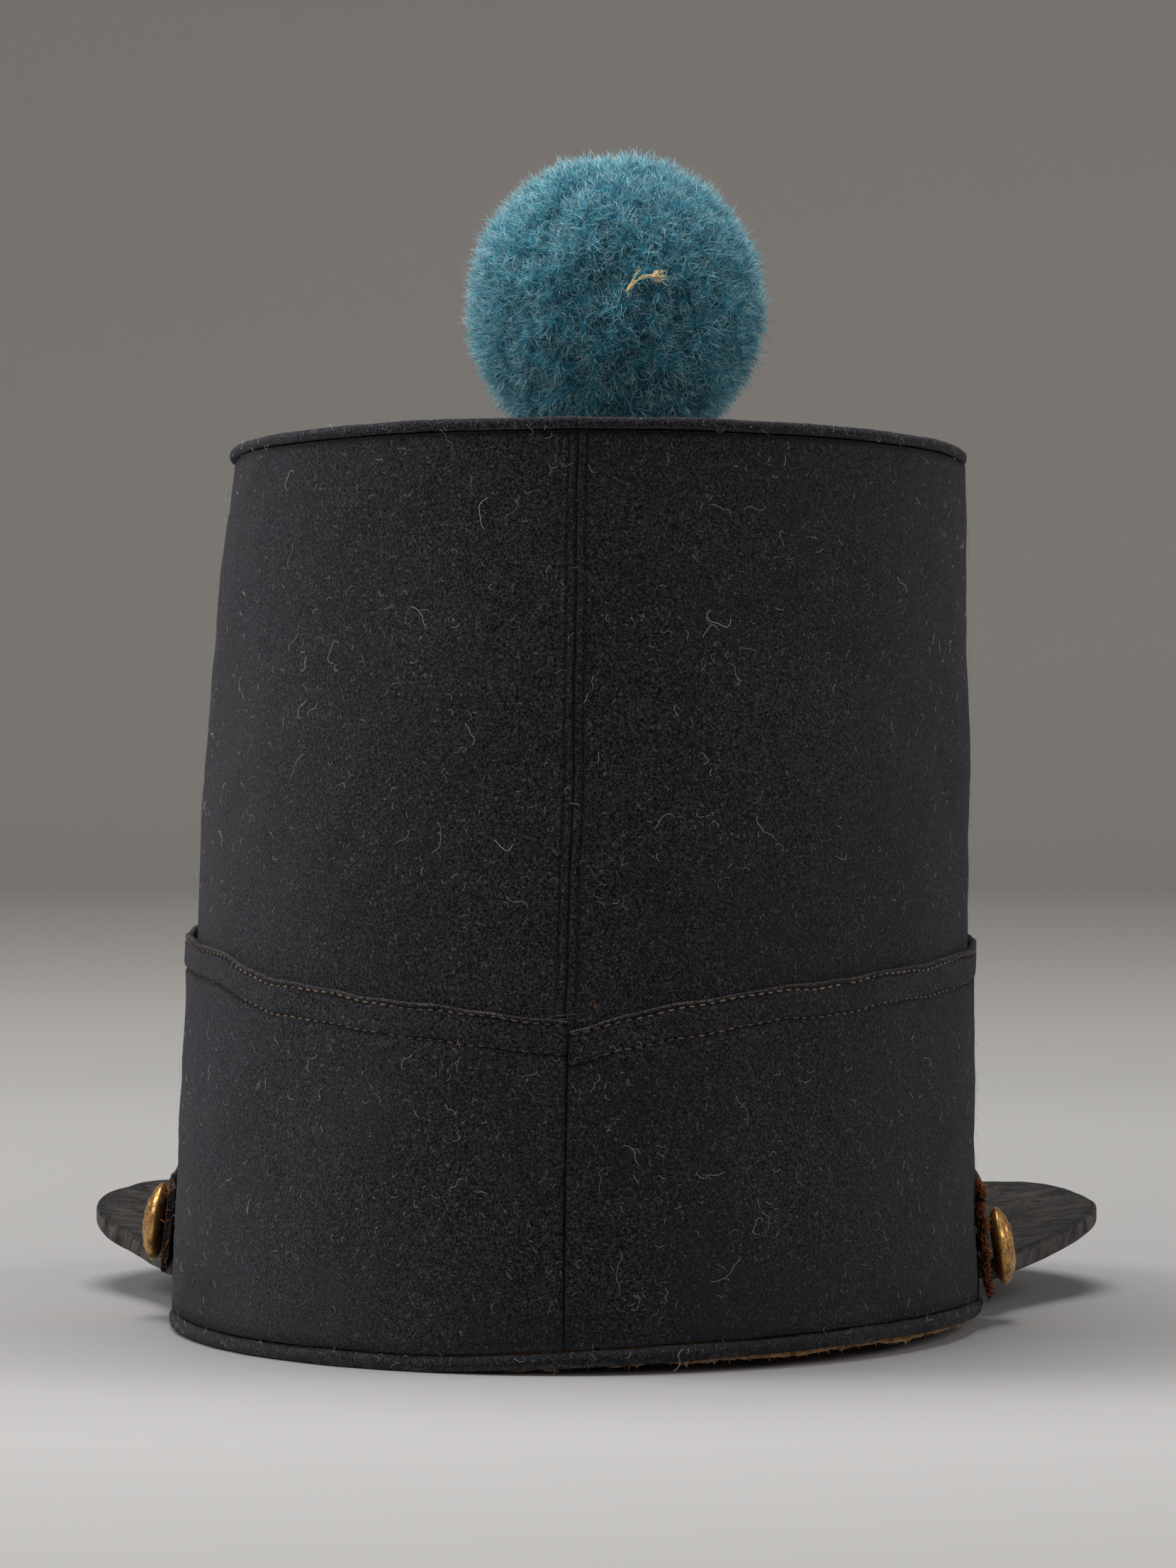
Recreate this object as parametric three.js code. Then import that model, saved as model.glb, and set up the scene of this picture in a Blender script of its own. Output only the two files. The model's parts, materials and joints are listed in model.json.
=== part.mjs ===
import * as THREE from "three";

// Shako hat, millimetres, +Z up. The rim plane is z = 0, the visor points to -Y and the back seam
// faces +Y. The origin is the centre of the head opening. "turn" is the angle round the hat in
// degrees: 0 at +X, 90 at the back and 270 at the front.

const FACETS = 72;
const TOP_LEVEL = 176.5;
const TOP_FORWARD_SLOPE = 0.0627;

const CROWN_WALL = 1.6;
const CROWN_FOOT = 3.5;
const CROWN_HEAD = 173.9;

const DISC_UNDERSIDE = 174.3;
const DISC_UPPERSIDE = 175.9;
const DISC_OUTSET = -1.85;

const TOP_WELT = { radius: 1.1, level: 175.4, outset: -0.4, sides: 8 };
const BASE_WELT = { radius: 1.6, outset: 0.65, sides: 10 };

const BAND_INNER = 0.3;
const BAND_OUTER = 1.4;
const BACK_SEAM_TURN = 92;
const BAND_END_GAP = 0.15;

const SWEATBAND_OUTER = -1.95;
const SWEATBAND_INNER = -3.15;
const SWEATBAND_FOOT = 0.3;
const SWEATBAND_FOLLOW = 0.35;
const SWEATBAND_HEAD = 30;
const SWEATBAND_SLIT_TURN = 96.4;
const SWEATBAND_SLIT_HALF = 0.6;

const RIM_LIFT = { height: 3.2, from: 74, to: 215 };

const VISOR_THICKNESS = 4.3;
const VISOR_EDGE_ROUND = 1.1;
const VISOR_OUTSET = 1.8;

const STRAP_THICKNESS = 1.3;

const BUTTON_TURN = -1.5;
const BUTTON_BACK_OUTSET = 4.4;
const BUTTON_TILT = 8;
const BUTTON_LEFT_HEIGHT = 19.3;
const BUTTON_RIGHT_HEIGHT = 15.1;

const POMPOM = { x: -4.2, y: -78, z: 209.7, halfWidth: 32.5, halfHeight: 33.2 };
const STEM = { radius: 3, foot: 171.7, head: 176.6 };

// Outer form of the crown. One row per section, from the rim upwards.
const SECTIONS = [
  { level: 0, centreX: 0, centreY: 0, halfWidth: 80.3, halfDepth: 97 },
  { level: 30, centreX: 0, centreY: -0.8, halfWidth: 79.6, halfDepth: 95 },
  { level: 60, centreX: -0.4, centreY: -1.5, halfWidth: 79, halfDepth: 92.5 },
  { level: 95, centreX: -1.6, centreY: -2.4, halfWidth: 78.1, halfDepth: 89 },
  { level: 125, centreX: -2.7, centreY: -3.2, halfWidth: 76.7, halfDepth: 85.8 },
  { level: 153, centreX: -3.6, centreY: -4, halfWidth: 75.3, halfDepth: 82.3 },
  { level: 176.5, centreX: -4.2, centreY: -4.5, halfWidth: 74.1, halfDepth: 79.3 },
];

// Top edge of the lower band. One row per bend, from one end at the back seam round to the other.
const BAND_EDGE = [
  { turn: 92, level: 63.8 },
  { turn: 101, level: 67 },
  { turn: 110, level: 69.5 },
  { turn: 122, level: 71.5 },
  { turn: 146, level: 74.2 },
  { turn: 180, level: 77.5 },
  { turn: 225, level: 82 },
  { turn: 270, level: 84 },
  { turn: 315, level: 82 },
  { turn: 360, level: 79.8 },
  { turn: 390, level: 77 },
  { turn: 406, level: 72.3 },
  { turn: 426, level: 69.2 },
  { turn: 440, level: 67.4 },
  { turn: 452, level: 65.4 },
];

// Visor, one side. innerTurn is where the row leaves the body; x, y and top place its outer edge.
const VISOR_ROWS = [
  { innerTurn: -7.6, innerTop: 12, x: 86, y: -13.5, top: 11.8 },
  { innerTurn: -12, innerTop: 12, x: 88.2, y: -22, top: 12 },
  { innerTurn: -17, innerTop: 12, x: 91.8, y: -31, top: 12.6 },
  { innerTurn: -22, innerTop: 11.9, x: 96.8, y: -41.5, top: 13.9 },
  { innerTurn: -26.5, innerTop: 11.8, x: 101.6, y: -51, top: 15.2 },
  { innerTurn: -31, innerTop: 11.7, x: 105.4, y: -60.5, top: 16.4 },
  { innerTurn: -35.5, innerTop: 11.6, x: 107.2, y: -70, top: 17.3 },
  { innerTurn: -40, innerTop: 11.4, x: 107, y: -80, top: 18.2 },
  { innerTurn: -45, innerTop: 11.2, x: 104.4, y: -91, top: 19.1 },
  { innerTurn: -51, innerTop: 11, x: 98.6, y: -103.5, top: 19.6 },
  { innerTurn: -58, innerTop: 10.8, x: 88.8, y: -116, top: 19.2 },
  { innerTurn: -66, innerTop: 10.6, x: 74, y: -128, top: 18.3 },
  { innerTurn: -74, innerTop: 10.3, x: 54, y: -138.5, top: 17.2 },
  { innerTurn: -82, innerTop: 10.1, x: 28, y: -146.5, top: 16.2 },
  { innerTurn: -90, innerTop: 10, x: 0, y: -149.5, top: 15.8 },
];

// Chin strap, from its end on the -X side round the front to its end on the +X side. Its lower edge
// stands off by flare more than its upper edge.
const STRAP_ROWS = [
  { turn: -186, low: 10, high: 26, outset: 1.6, flare: 1 },
  { turn: -184, low: 6.4, high: 29, outset: 1.6, flare: 1.5 },
  { turn: -181, low: 5.2, high: 30, outset: 1.6, flare: 1.6 },
  { turn: -177, low: 5.6, high: 30, outset: 1.6, flare: 1.6 },
  { turn: -173.6, low: 12.9, high: 30.4, outset: 1.6, flare: 1.2 },
  { turn: -160, low: 12.9, high: 30.6, outset: 1.8, flare: 0 },
  { turn: -142, low: 12.9, high: 31, outset: 2.6, flare: 0 },
  { turn: -118, low: 12.7, high: 31.5, outset: 3.2, flare: 0 },
  { turn: -90, low: 12.5, high: 31.5, outset: 2.2, flare: 0 },
  { turn: -62, low: 14.5, high: 33, outset: 3.4, flare: 0 },
  { turn: -38, low: 16.6, high: 34.8, outset: 6.2, flare: 0 },
  { turn: -20, low: 16.8, high: 35, outset: 6.4, flare: 0 },
  { turn: -6.4, low: 12.9, high: 31.8, outset: 2.4, flare: 1.2 },
  { turn: -4, low: 10.6, high: 30.6, outset: 1.6, flare: 1.8 },
  { turn: 0, low: 10, high: 30.3, outset: 1.6, flare: 1.9 },
  { turn: 4, low: 10.4, high: 29.6, outset: 1.6, flare: 1.7 },
  { turn: 6, low: 13, high: 27, outset: 1.6, flare: 1.2 },
];

// Half section of a side button: radius from its axis, height above its back.
const BUTTON_PROFILE = [
  { radius: 0, height: 0 },
  { radius: 4.5, height: 0 },
  { radius: 6.4, height: 0.35 },
  { radius: 7.6, height: 1 },
  { radius: 8, height: 1.75 },
  { radius: 7.7, height: 2.5 },
  { radius: 6.8, height: 3.2 },
  { radius: 5.2, height: 3.95 },
  { radius: 3, height: 4.4 },
  { radius: 0, height: 4.5 },
];

function radians(degrees) {
  return (degrees * Math.PI) / 180;
}

// Straight-line value of one column of a table between its rows.
function column(rows, keyName, key, name) {
  const last = rows.length - 1;
  let row = 0;
  while (row < last - 1 && key > rows[row + 1][keyName]) {
    row += 1;
  }
  const low = rows[row];
  const high = rows[row + 1];
  const share = (key - low[keyName]) / (high[keyName] - low[keyName]);
  return low[name] + share * (high[name] - low[name]);
}

// Point on the hat at a turn and a level, stood off from the crown's outer face by outset.
function hatPoint(turn, level, outset) {
  const angle = radians(turn);
  const centreX = column(SECTIONS, "level", level, "centreX");
  const centreY = column(SECTIONS, "level", level, "centreY");
  const halfWidth = column(SECTIONS, "level", level, "halfWidth") + outset;
  const halfDepth = column(SECTIONS, "level", level, "halfDepth") + outset;
  const x = centreX + halfWidth * Math.cos(angle);
  const y = centreY + halfDepth * Math.sin(angle);
  const slope = TOP_FORWARD_SLOPE * (level / TOP_LEVEL) ** 2;
  return new THREE.Vector3(x, y, level + slope * y);
}

// The rim is sprung upwards over one stretch of the back and side.
function rimLift(turn) {
  const around = ((turn % 360) + 360) % 360;
  const share = (around - RIM_LIFT.from) / (RIM_LIFT.to - RIM_LIFT.from);
  if (share <= 0 || share >= 1) {
    return 0;
  }
  return RIM_LIFT.height * Math.sin(Math.PI * share);
}

function evenTurns(from, to, count) {
  const turns = [];
  for (let index = 0; index <= count; index += 1) {
    turns.push(from + ((to - from) * index) / count);
  }
  return turns;
}

// Closed solid through a list of equal-length profiles. Profile points i and last - i face each
// other across the wall, so an open run ends in strips between them.
function loft(profiles, isRing) {
  const size = profiles[0].length;
  const points = profiles.flat();
  const faces = [];
  const quad = (a, b, c, d) => {
    faces.push(a, b, c, a, c, d);
  };
  const runs = isRing ? profiles.length : profiles.length - 1;
  for (let run = 0; run < runs; run += 1) {
    const here = run * size;
    const next = ((run + 1) % profiles.length) * size;
    for (let index = 0; index < size; index += 1) {
      const beside = (index + 1) % size;
      quad(here + index, here + beside, next + beside, next + index);
    }
  }
  if (!isRing) {
    const end = (profiles.length - 1) * size;
    for (let index = 0; index < size / 2 - 1; index += 1) {
      const across = size - 1 - index;
      quad(across, across - 1, index + 1, index);
      quad(end + index, end + index + 1, end + across - 1, end + across);
    }
  }
  return solid(points, faces);
}

// Geometry from points and triangles, turned so that its faces look outwards.
function solid(points, faces) {
  let volume = 0;
  const cross = new THREE.Vector3();
  for (let index = 0; index < faces.length; index += 3) {
    cross.crossVectors(points[faces[index + 1]], points[faces[index + 2]]);
    volume += points[faces[index]].dot(cross);
  }
  const geometry = new THREE.BufferGeometry();
  geometry.setFromPoints(points);
  geometry.setIndex(volume < 0 ? [...faces].reverse() : faces);
  geometry.computeVertexNormals();
  return geometry;
}

// Wall profile: rows of levels up the outer face and back down the inner face.
function wallProfile(turn, levels, outer, inner) {
  const outside = levels.map((level) => hatPoint(turn, level, outer));
  const inside = levels.map((level) => hatPoint(turn, level, inner));
  return [...outside, ...inside.reverse()];
}

function cordProfile(turn, level, outset, radius, sides) {
  const points = [];
  for (let index = 0; index < sides; index += 1) {
    const angle = radians(-90 + (360 * (index + 0.5)) / sides);
    const rise = radius * Math.sin(angle);
    points.push(hatPoint(turn, level + rise, outset + radius * Math.cos(angle)));
  }
  return points;
}

function ringTurns() {
  return evenTurns(0, 360, FACETS).slice(0, FACETS);
}

function crownShell() {
  const between = SECTIONS.slice(1, -1).map((row) => row.level);
  const profiles = ringTurns().map((turn) => {
    const levels = [CROWN_FOOT + rimLift(turn), ...between, CROWN_HEAD];
    return wallProfile(turn, levels, 0, -CROWN_WALL);
  });
  return loft(profiles, true);
}

function topDisc() {
  const edge = (level) => ringTurns().map((turn) => hatPoint(turn, level, DISC_OUTSET));
  const centre = (level) => hatPoint(0, level, -column(SECTIONS, "level", level, "halfWidth"));
  const middle = [centre(DISC_UNDERSIDE), centre(DISC_UPPERSIDE)];
  const points = [...edge(DISC_UNDERSIDE), ...edge(DISC_UPPERSIDE), ...middle];
  const faces = [];
  for (let index = 0; index < FACETS; index += 1) {
    const next = (index + 1) % FACETS;
    const upper = FACETS + index;
    const upperNext = FACETS + next;
    faces.push(index, next, upperNext, index, upperNext, upper);
    faces.push(2 * FACETS, next, index);
    faces.push(2 * FACETS + 1, upper, upperNext);
  }
  return solid(points, faces);
}

function topWelt() {
  const { radius, level, outset, sides } = TOP_WELT;
  return loft(ringTurns().map((turn) => cordProfile(turn, level, outset, radius, sides)), true);
}

// The base cord has a flat facet underneath, on the rim plane.
function baseWelt() {
  const { radius, outset, sides } = BASE_WELT;
  const seat = radius * Math.cos(Math.PI / sides);
  const profiles = ringTurns().map((turn) => {
    return cordProfile(turn, seat + rimLift(turn), outset, radius, sides);
  });
  return loft(profiles, true);
}

function lowerBand() {
  const start = BACK_SEAM_TURN + BAND_END_GAP;
  const turns = evenTurns(start, BACK_SEAM_TURN + 360 - BAND_END_GAP, FACETS);
  const profiles = turns.map((turn) => {
    const edge = column(BAND_EDGE, "turn", turn, "level");
    const levels = [CROWN_FOOT + rimLift(turn), 30, 60, edge];
    return wallProfile(turn, levels, BAND_OUTER, BAND_INNER);
  });
  return loft(profiles, false);
}

function sweatband() {
  const start = SWEATBAND_SLIT_TURN + SWEATBAND_SLIT_HALF;
  const turns = evenTurns(start, SWEATBAND_SLIT_TURN + 360 - SWEATBAND_SLIT_HALF, FACETS);
  const profiles = turns.map((turn) => {
    const levels = [SWEATBAND_FOOT + SWEATBAND_FOLLOW * rimLift(turn), SWEATBAND_HEAD];
    return wallProfile(turn, levels, SWEATBAND_OUTER, SWEATBAND_INNER);
  });
  return loft(profiles, false);
}

// One visor row: top face from the body outwards, rounded edge, underside back to the body.
function visorProfile(row, side) {
  const innerTurn = side > 0 ? row.innerTurn : -180 - row.innerTurn;
  const inner = hatPoint(innerTurn, row.innerTop, VISOR_OUTSET);
  inner.z = row.innerTop;
  const outer = new THREE.Vector3(side * row.x, row.y, row.top);
  const width = inner.distanceTo(outer);
  const round = Math.min(VISOR_EDGE_ROUND, 0.45 * width);
  const shoulder = outer.clone().lerp(inner, round / width);
  const middle = inner.clone().lerp(outer, 0.5);
  const down = (point, drop) => new THREE.Vector3(point.x, point.y, point.z - drop);
  const under = VISOR_THICKNESS;
  return [
    inner,
    middle,
    shoulder,
    down(outer, VISOR_EDGE_ROUND),
    down(outer, under - VISOR_EDGE_ROUND),
    down(shoulder, under),
    down(middle, under),
    down(inner, under),
  ];
}

function visor() {
  const left = VISOR_ROWS.map((row) => visorProfile(row, 1));
  const right = VISOR_ROWS.slice(0, -1).map((row) => visorProfile(row, -1));
  return loft([...left, ...right.reverse()], false);
}

function chinStrap() {
  const turns = [];
  for (let index = 0; index < STRAP_ROWS.length - 1; index += 1) {
    const from = STRAP_ROWS[index].turn;
    const to = STRAP_ROWS[index + 1].turn;
    const steps = Math.max(1, Math.round((to - from) / 5));
    turns.push(...evenTurns(from, to, steps).slice(0, steps));
  }
  turns.push(STRAP_ROWS[STRAP_ROWS.length - 1].turn);
  const profiles = turns.map((turn) => {
    const [low, high, upper, flare] = ["low", "high", "outset", "flare"].map((name) => {
      return column(STRAP_ROWS, "turn", turn, name);
    });
    const lower = upper + flare;
    return [
      hatPoint(turn, low, lower + STRAP_THICKNESS),
      hatPoint(turn, high, upper + STRAP_THICKNESS),
      hatPoint(turn, high, upper),
      hatPoint(turn, low, lower),
    ];
  });
  return loft(profiles, false);
}

function button(turn, height) {
  const points = BUTTON_PROFILE.map((row) => new THREE.Vector2(row.radius, row.height));
  const geometry = new THREE.LatheGeometry([...points, points[0]], 24);
  const seat = hatPoint(turn, height, BUTTON_BACK_OUTSET);
  const side = Math.cos(radians(turn)) > 0 ? 1 : -1;
  geometry.rotateZ((-side * Math.PI) / 2);
  geometry.rotateY(-side * radians(BUTTON_TILT));
  geometry.translate(seat.x, seat.y, height);
  return geometry;
}

function pompom() {
  const geometry = new THREE.SphereGeometry(1, 28, 18);
  geometry.rotateX(Math.PI / 2);
  geometry.scale(POMPOM.halfWidth, POMPOM.halfWidth, POMPOM.halfHeight);
  geometry.translate(POMPOM.x, POMPOM.y, POMPOM.z);
  return geometry;
}

function pompomStem() {
  const length = STEM.head - STEM.foot - 0.5;
  const geometry = new THREE.CylinderGeometry(STEM.radius, STEM.radius, length, 16);
  geometry.rotateX(Math.PI / 2);
  geometry.translate(POMPOM.x, POMPOM.y, STEM.foot + length / 2);
  return geometry;
}

const BLACK_CLOTH = { color: 0x232428, roughness: 0.95, metalness: 0 };
const BLACK_LEATHER = { color: 0x2a2928, roughness: 0.6, metalness: 0 };
const TAN_LEATHER = { color: 0xa07a5c, roughness: 0.85, metalness: 0 };
const OLD_BRASS = { color: 0x9a7a42, roughness: 0.4, metalness: 1 };
const TEAL_WOOL = { color: 0x2c5361, roughness: 1, metalness: 0 };

const PIECES = [
  { name: "crown_shell", shape: crownShell, finish: BLACK_CLOTH },
  { name: "top_disc", shape: topDisc, finish: BLACK_CLOTH },
  { name: "top_welt", shape: topWelt, finish: BLACK_CLOTH },
  { name: "lower_band", shape: lowerBand, finish: BLACK_CLOTH },
  { name: "base_welt", shape: baseWelt, finish: BLACK_CLOTH },
  { name: "sweatband", shape: sweatband, finish: TAN_LEATHER },
  { name: "visor", shape: visor, finish: BLACK_LEATHER },
  { name: "chin_strap", shape: chinStrap, finish: BLACK_LEATHER },
  { name: "button_left", shape: () => button(BUTTON_TURN, BUTTON_LEFT_HEIGHT), finish: OLD_BRASS },
  {
    name: "button_right",
    shape: () => button(180 - BUTTON_TURN, BUTTON_RIGHT_HEIGHT),
    finish: OLD_BRASS,
  },
  { name: "pompom", shape: pompom, finish: TEAL_WOOL },
  { name: "pompom_stem", shape: pompomStem, finish: BLACK_CLOTH },
];

const hat = new THREE.Group();
hat.name = "shako_hat";
for (const piece of PIECES) {
  const mesh = new THREE.Mesh(piece.shape(), new THREE.MeshStandardMaterial(piece.finish));
  mesh.name = piece.name;
  hat.add(mesh);
}

export default hat;
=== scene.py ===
"""Looks of a shako hat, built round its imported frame.

Sizes are in millimetres, and in metres in the studio and in node trees.
"""

import json
import logging
import math
from dataclasses import dataclass, field
from enum import Enum
from typing import Mapping, NamedTuple, Optional, Sequence, Union

import bpy
import numpy as np
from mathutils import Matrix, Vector

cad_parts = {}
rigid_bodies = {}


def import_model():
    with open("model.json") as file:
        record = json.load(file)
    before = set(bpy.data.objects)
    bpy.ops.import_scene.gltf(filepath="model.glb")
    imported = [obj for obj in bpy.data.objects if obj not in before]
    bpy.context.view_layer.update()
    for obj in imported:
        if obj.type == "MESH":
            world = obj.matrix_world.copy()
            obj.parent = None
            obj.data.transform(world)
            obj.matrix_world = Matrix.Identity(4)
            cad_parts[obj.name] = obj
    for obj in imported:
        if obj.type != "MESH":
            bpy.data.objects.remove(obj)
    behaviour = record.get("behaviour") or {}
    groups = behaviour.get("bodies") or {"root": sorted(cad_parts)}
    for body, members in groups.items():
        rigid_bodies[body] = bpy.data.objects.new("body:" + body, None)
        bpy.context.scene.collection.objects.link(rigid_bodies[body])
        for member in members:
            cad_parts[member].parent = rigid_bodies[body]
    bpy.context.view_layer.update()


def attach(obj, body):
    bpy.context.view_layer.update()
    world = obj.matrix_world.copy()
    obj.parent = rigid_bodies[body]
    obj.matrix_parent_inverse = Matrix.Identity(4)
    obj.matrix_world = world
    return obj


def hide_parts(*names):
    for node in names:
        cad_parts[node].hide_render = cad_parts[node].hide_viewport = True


LOG = logging.getLogger("shako_hat")
MM = 0.001
BODY = "root"

Key = Union[str, int]
Thing = bpy.types.Object
Finish = bpy.types.Material
Socket = bpy.types.NodeSocket
Shape = tuple[np.ndarray, list[list[int]]]

NOISE = "ShaderNodeTexNoise"
MATH = "ShaderNodeMath"
RANGE = "ShaderNodeMapRange"
MIX = "ShaderNodeMix"
# Output and settings of a mix node that mixes colours.
AS_COLOUR = {"out": 2, "data_type": "RGBA"}


def linear(hex_colour: str) -> tuple[float, float, float, float]:
    """Turns an sRGB hex colour into a linear one.

    Args:
        hex_colour: Six hex digits after a hash sign.

    Returns:
        Linear red, green, blue and full alpha.
    """
    digits = hex_colour.lstrip("#")
    parts = [int(digits[place : place + 2], 16) / 255 for place in (0, 2, 4)]
    red, green, blue = [p / 12.92 if p <= 0.04045 else ((p + 0.055) / 1.055) ** 2.4 for p in parts]
    return red, green, blue, 1.0


def ripple(points: np.ndarray, wavelength: float, seed: int, waves: int = 16) -> np.ndarray:
    """Smooth noise made of plane waves that point every way.

    Args:
        points: Places, with x, y and z last.
        wavelength: Typical distance between crests.
        seed: Fixed seed.
        waves: How many waves are added up.

    Returns:
        Noise with a spread of about one.
    """
    draw = np.random.default_rng(seed)
    total = np.zeros(points.shape[:-1])
    for _ in range(waves):
        way = draw.normal(size=3)
        way *= 2 * math.pi / (np.linalg.norm(way) * wavelength * draw.uniform(0.7, 1.5))
        total += np.cos(points @ way + draw.uniform(0, 2 * math.pi))
    return total / math.sqrt(waves / 2)


class Wave(NamedTuple):
    """One size of unevenness: height, length between crests, seed and how many waves it adds up."""

    height: float
    length: float
    seed: int
    waves: int = 16


def uneven(points: np.ndarray, sizes: Sequence[Wave]) -> np.ndarray:
    """Adds up unevenness of several sizes.

    Args:
        points: Places, with x, y and z last.
        sizes: The sizes to add up.

    Returns:
        The height at each place.
    """
    total = np.zeros(points.shape[:-1])
    for size in sizes:
        total = total + size.height * ripple(points, size.length, size.seed, size.waves)
    return total


def step_between(value: np.ndarray, low: float, high: float) -> np.ndarray:
    """Smooth step from 0 at low to 1 at high, in either order."""
    share = np.clip((value - low) / (high - low), 0.0, 1.0)
    return share * share * (3 - 2 * share)


def through_rows(rows: np.ndarray, count: int) -> np.ndarray:
    """Runs a smooth curve through the rows of a table.

    Args:
        rows: One row per station.
        count: Number of stations wanted.

    Returns:
        The new rows, spaced evenly between the old ones.
    """
    places = np.linspace(0, len(rows) - 1, count)
    start = np.minimum(places.astype(int), len(rows) - 2)
    share = (places - start)[:, None]
    padded = np.vstack([2 * rows[0] - rows[1], rows, 2 * rows[-1] - rows[-2]])
    before, here, after, beyond = (padded[start + step] for step in range(4))
    slope_here = (after - before) / 2
    slope_after = (beyond - here) / 2
    square, cube = share**2, share**3
    return (
        (2 * cube - 3 * square + 1) * here
        + (cube - 2 * square + share) * slope_here
        + (3 * square - 2 * cube) * after
        + (cube - square) * slope_after
    )


# ---- meshes


class Ends(Enum):
    """How the two ends of a swept profile are closed."""

    OPEN = "open"
    STRIPS = "strips"


def new_object(name: str, points: np.ndarray, faces: Sequence[Sequence[int]]) -> Thing:
    """Makes a smooth-shaded mesh object.

    Args:
        name: Object name.
        points: Places in millimetres.
        faces: Vertex numbers of each face.

    Returns:
        The new object, in the scene.
    """
    mesh = bpy.data.meshes.new(name)
    mesh.from_pydata((points * MM).tolist(), [], [list(face) for face in faces])
    mesh.polygons.foreach_set("use_smooth", [True] * len(mesh.polygons))
    mesh.update()
    thing = bpy.data.objects.new(name, mesh)
    bpy.context.scene.collection.objects.link(thing)
    return thing


def swept(
    name: str,
    grid: np.ndarray,
    around: bool,
    profile_closed: bool,
    ends: Ends = Ends.OPEN,
    poles: bool = False,
) -> Thing:
    """Makes a skin over a grid of points, with a UV map in metres along and across it.

    Args:
        name: Object name.
        grid: Stations by profile points by x, y, z.
        around: The last station joins the first.
        profile_closed: The last profile point joins the first.
        ends: How an open run is closed.
        poles: The first and last profile rows are closed with a point each.

    Returns:
        The new object. Its skin faces outwards, and the faces that close its ends and poles face in.
    """
    stations, size, _ = grid.shape
    along = np.arange(stations if around else stations - 1)
    across = np.arange(size if profile_closed else size - 1)
    here, beside = np.meshgrid(along, across, indexing="ij")
    after = (here + 1) % stations
    above = (beside + 1) % size
    corners = [here * size + beside, after * size + beside, after * size + above, here * size + above]
    quads = np.stack(corners, axis=-1).reshape(-1, 4)
    points = grid.reshape(-1, 3)

    closed_grid = np.concatenate([grid, grid[:1]]) if around else grid
    lengths = np.linalg.norm(np.diff(closed_grid, axis=0), axis=-1).mean(axis=1)
    run = np.concatenate([[0.0], np.cumsum(lengths)]) * MM
    closed_grid = np.concatenate([grid, grid[:, :1]], axis=1) if profile_closed else grid
    lengths = np.linalg.norm(np.diff(closed_grid, axis=1), axis=-1)
    rise = np.concatenate([np.zeros((stations, 1)), np.cumsum(lengths, axis=1)], axis=1) * MM
    left, right = run[here], run[here + 1]
    low, high = rise[here, beside], rise[here, beside + 1]
    low_after, high_after = rise[after, beside], rise[after, beside + 1]
    places = [(left, low), (right, low_after), (right, high_after), (left, high)]
    uv = np.stack([np.stack(place, axis=-1) for place in places], axis=-2).reshape(-1, 4, 2)

    a, b, c, d = (points[quads[:, corner]] for corner in range(4))
    middle = points.mean(axis=0)
    volume = np.einsum("ij,ij->i", a - middle, np.cross(c - a, d - b)).sum()
    if volume < 0:
        quads, uv = quads[:, ::-1], uv[:, ::-1]
    faces = quads.tolist()
    uv_list = uv.reshape(-1, 2).tolist()

    extra = []
    if ends is Ends.STRIPS:
        last = (stations - 1) * size
        for low_row in range(size // 2 - 1):
            far = size - 1 - low_row
            extra.append(([far, far - 1, low_row + 1, low_row], volume < 0))
            row = [last + low_row, last + low_row + 1, last + far - 1, last + far]
            extra.append((row, volume < 0))
    if poles:
        first_ring = [station * size for station in range(stations)]
        last_ring = [station * size + size - 1 for station in range(stations)]
        tips = np.array([points[first_ring].mean(axis=0), points[last_ring].mean(axis=0)])
        for tip, ring in enumerate((first_ring, last_ring)):
            pole = len(points) + tip
            for station in range(stations):
                pair = [ring[station], ring[(station + 1) % stations]]
                turned = pair if tip else pair[::-1]
                extra.append((turned[::-1] + [pole], volume < 0))
        points = np.vstack([points, tips])
    for face, flip in extra:
        faces.append(face[::-1] if flip else face)
        uv_list.extend([(0.0, 0.0)] * len(face))

    thing = new_object(name, points, faces)
    layer = thing.data.uv_layers.new(name="cloth")
    layer.data.foreach_set("uv", np.array(uv_list, dtype=np.float32).ravel())
    return thing


def paint(thing: Thing, name: str, values: np.ndarray) -> None:
    """Stores a number per point, for the materials to read.

    Args:
        thing: Mesh object.
        name: Name of the attribute.
        values: One number per point; points beyond the last one get nothing.
    """
    layer = thing.data.attributes.new(name, "FLOAT", "POINT")
    filled = np.zeros(len(thing.data.vertices), dtype=np.float32)
    filled[: values.size] = values.ravel()
    layer.data.foreach_set("value", filled)


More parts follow.
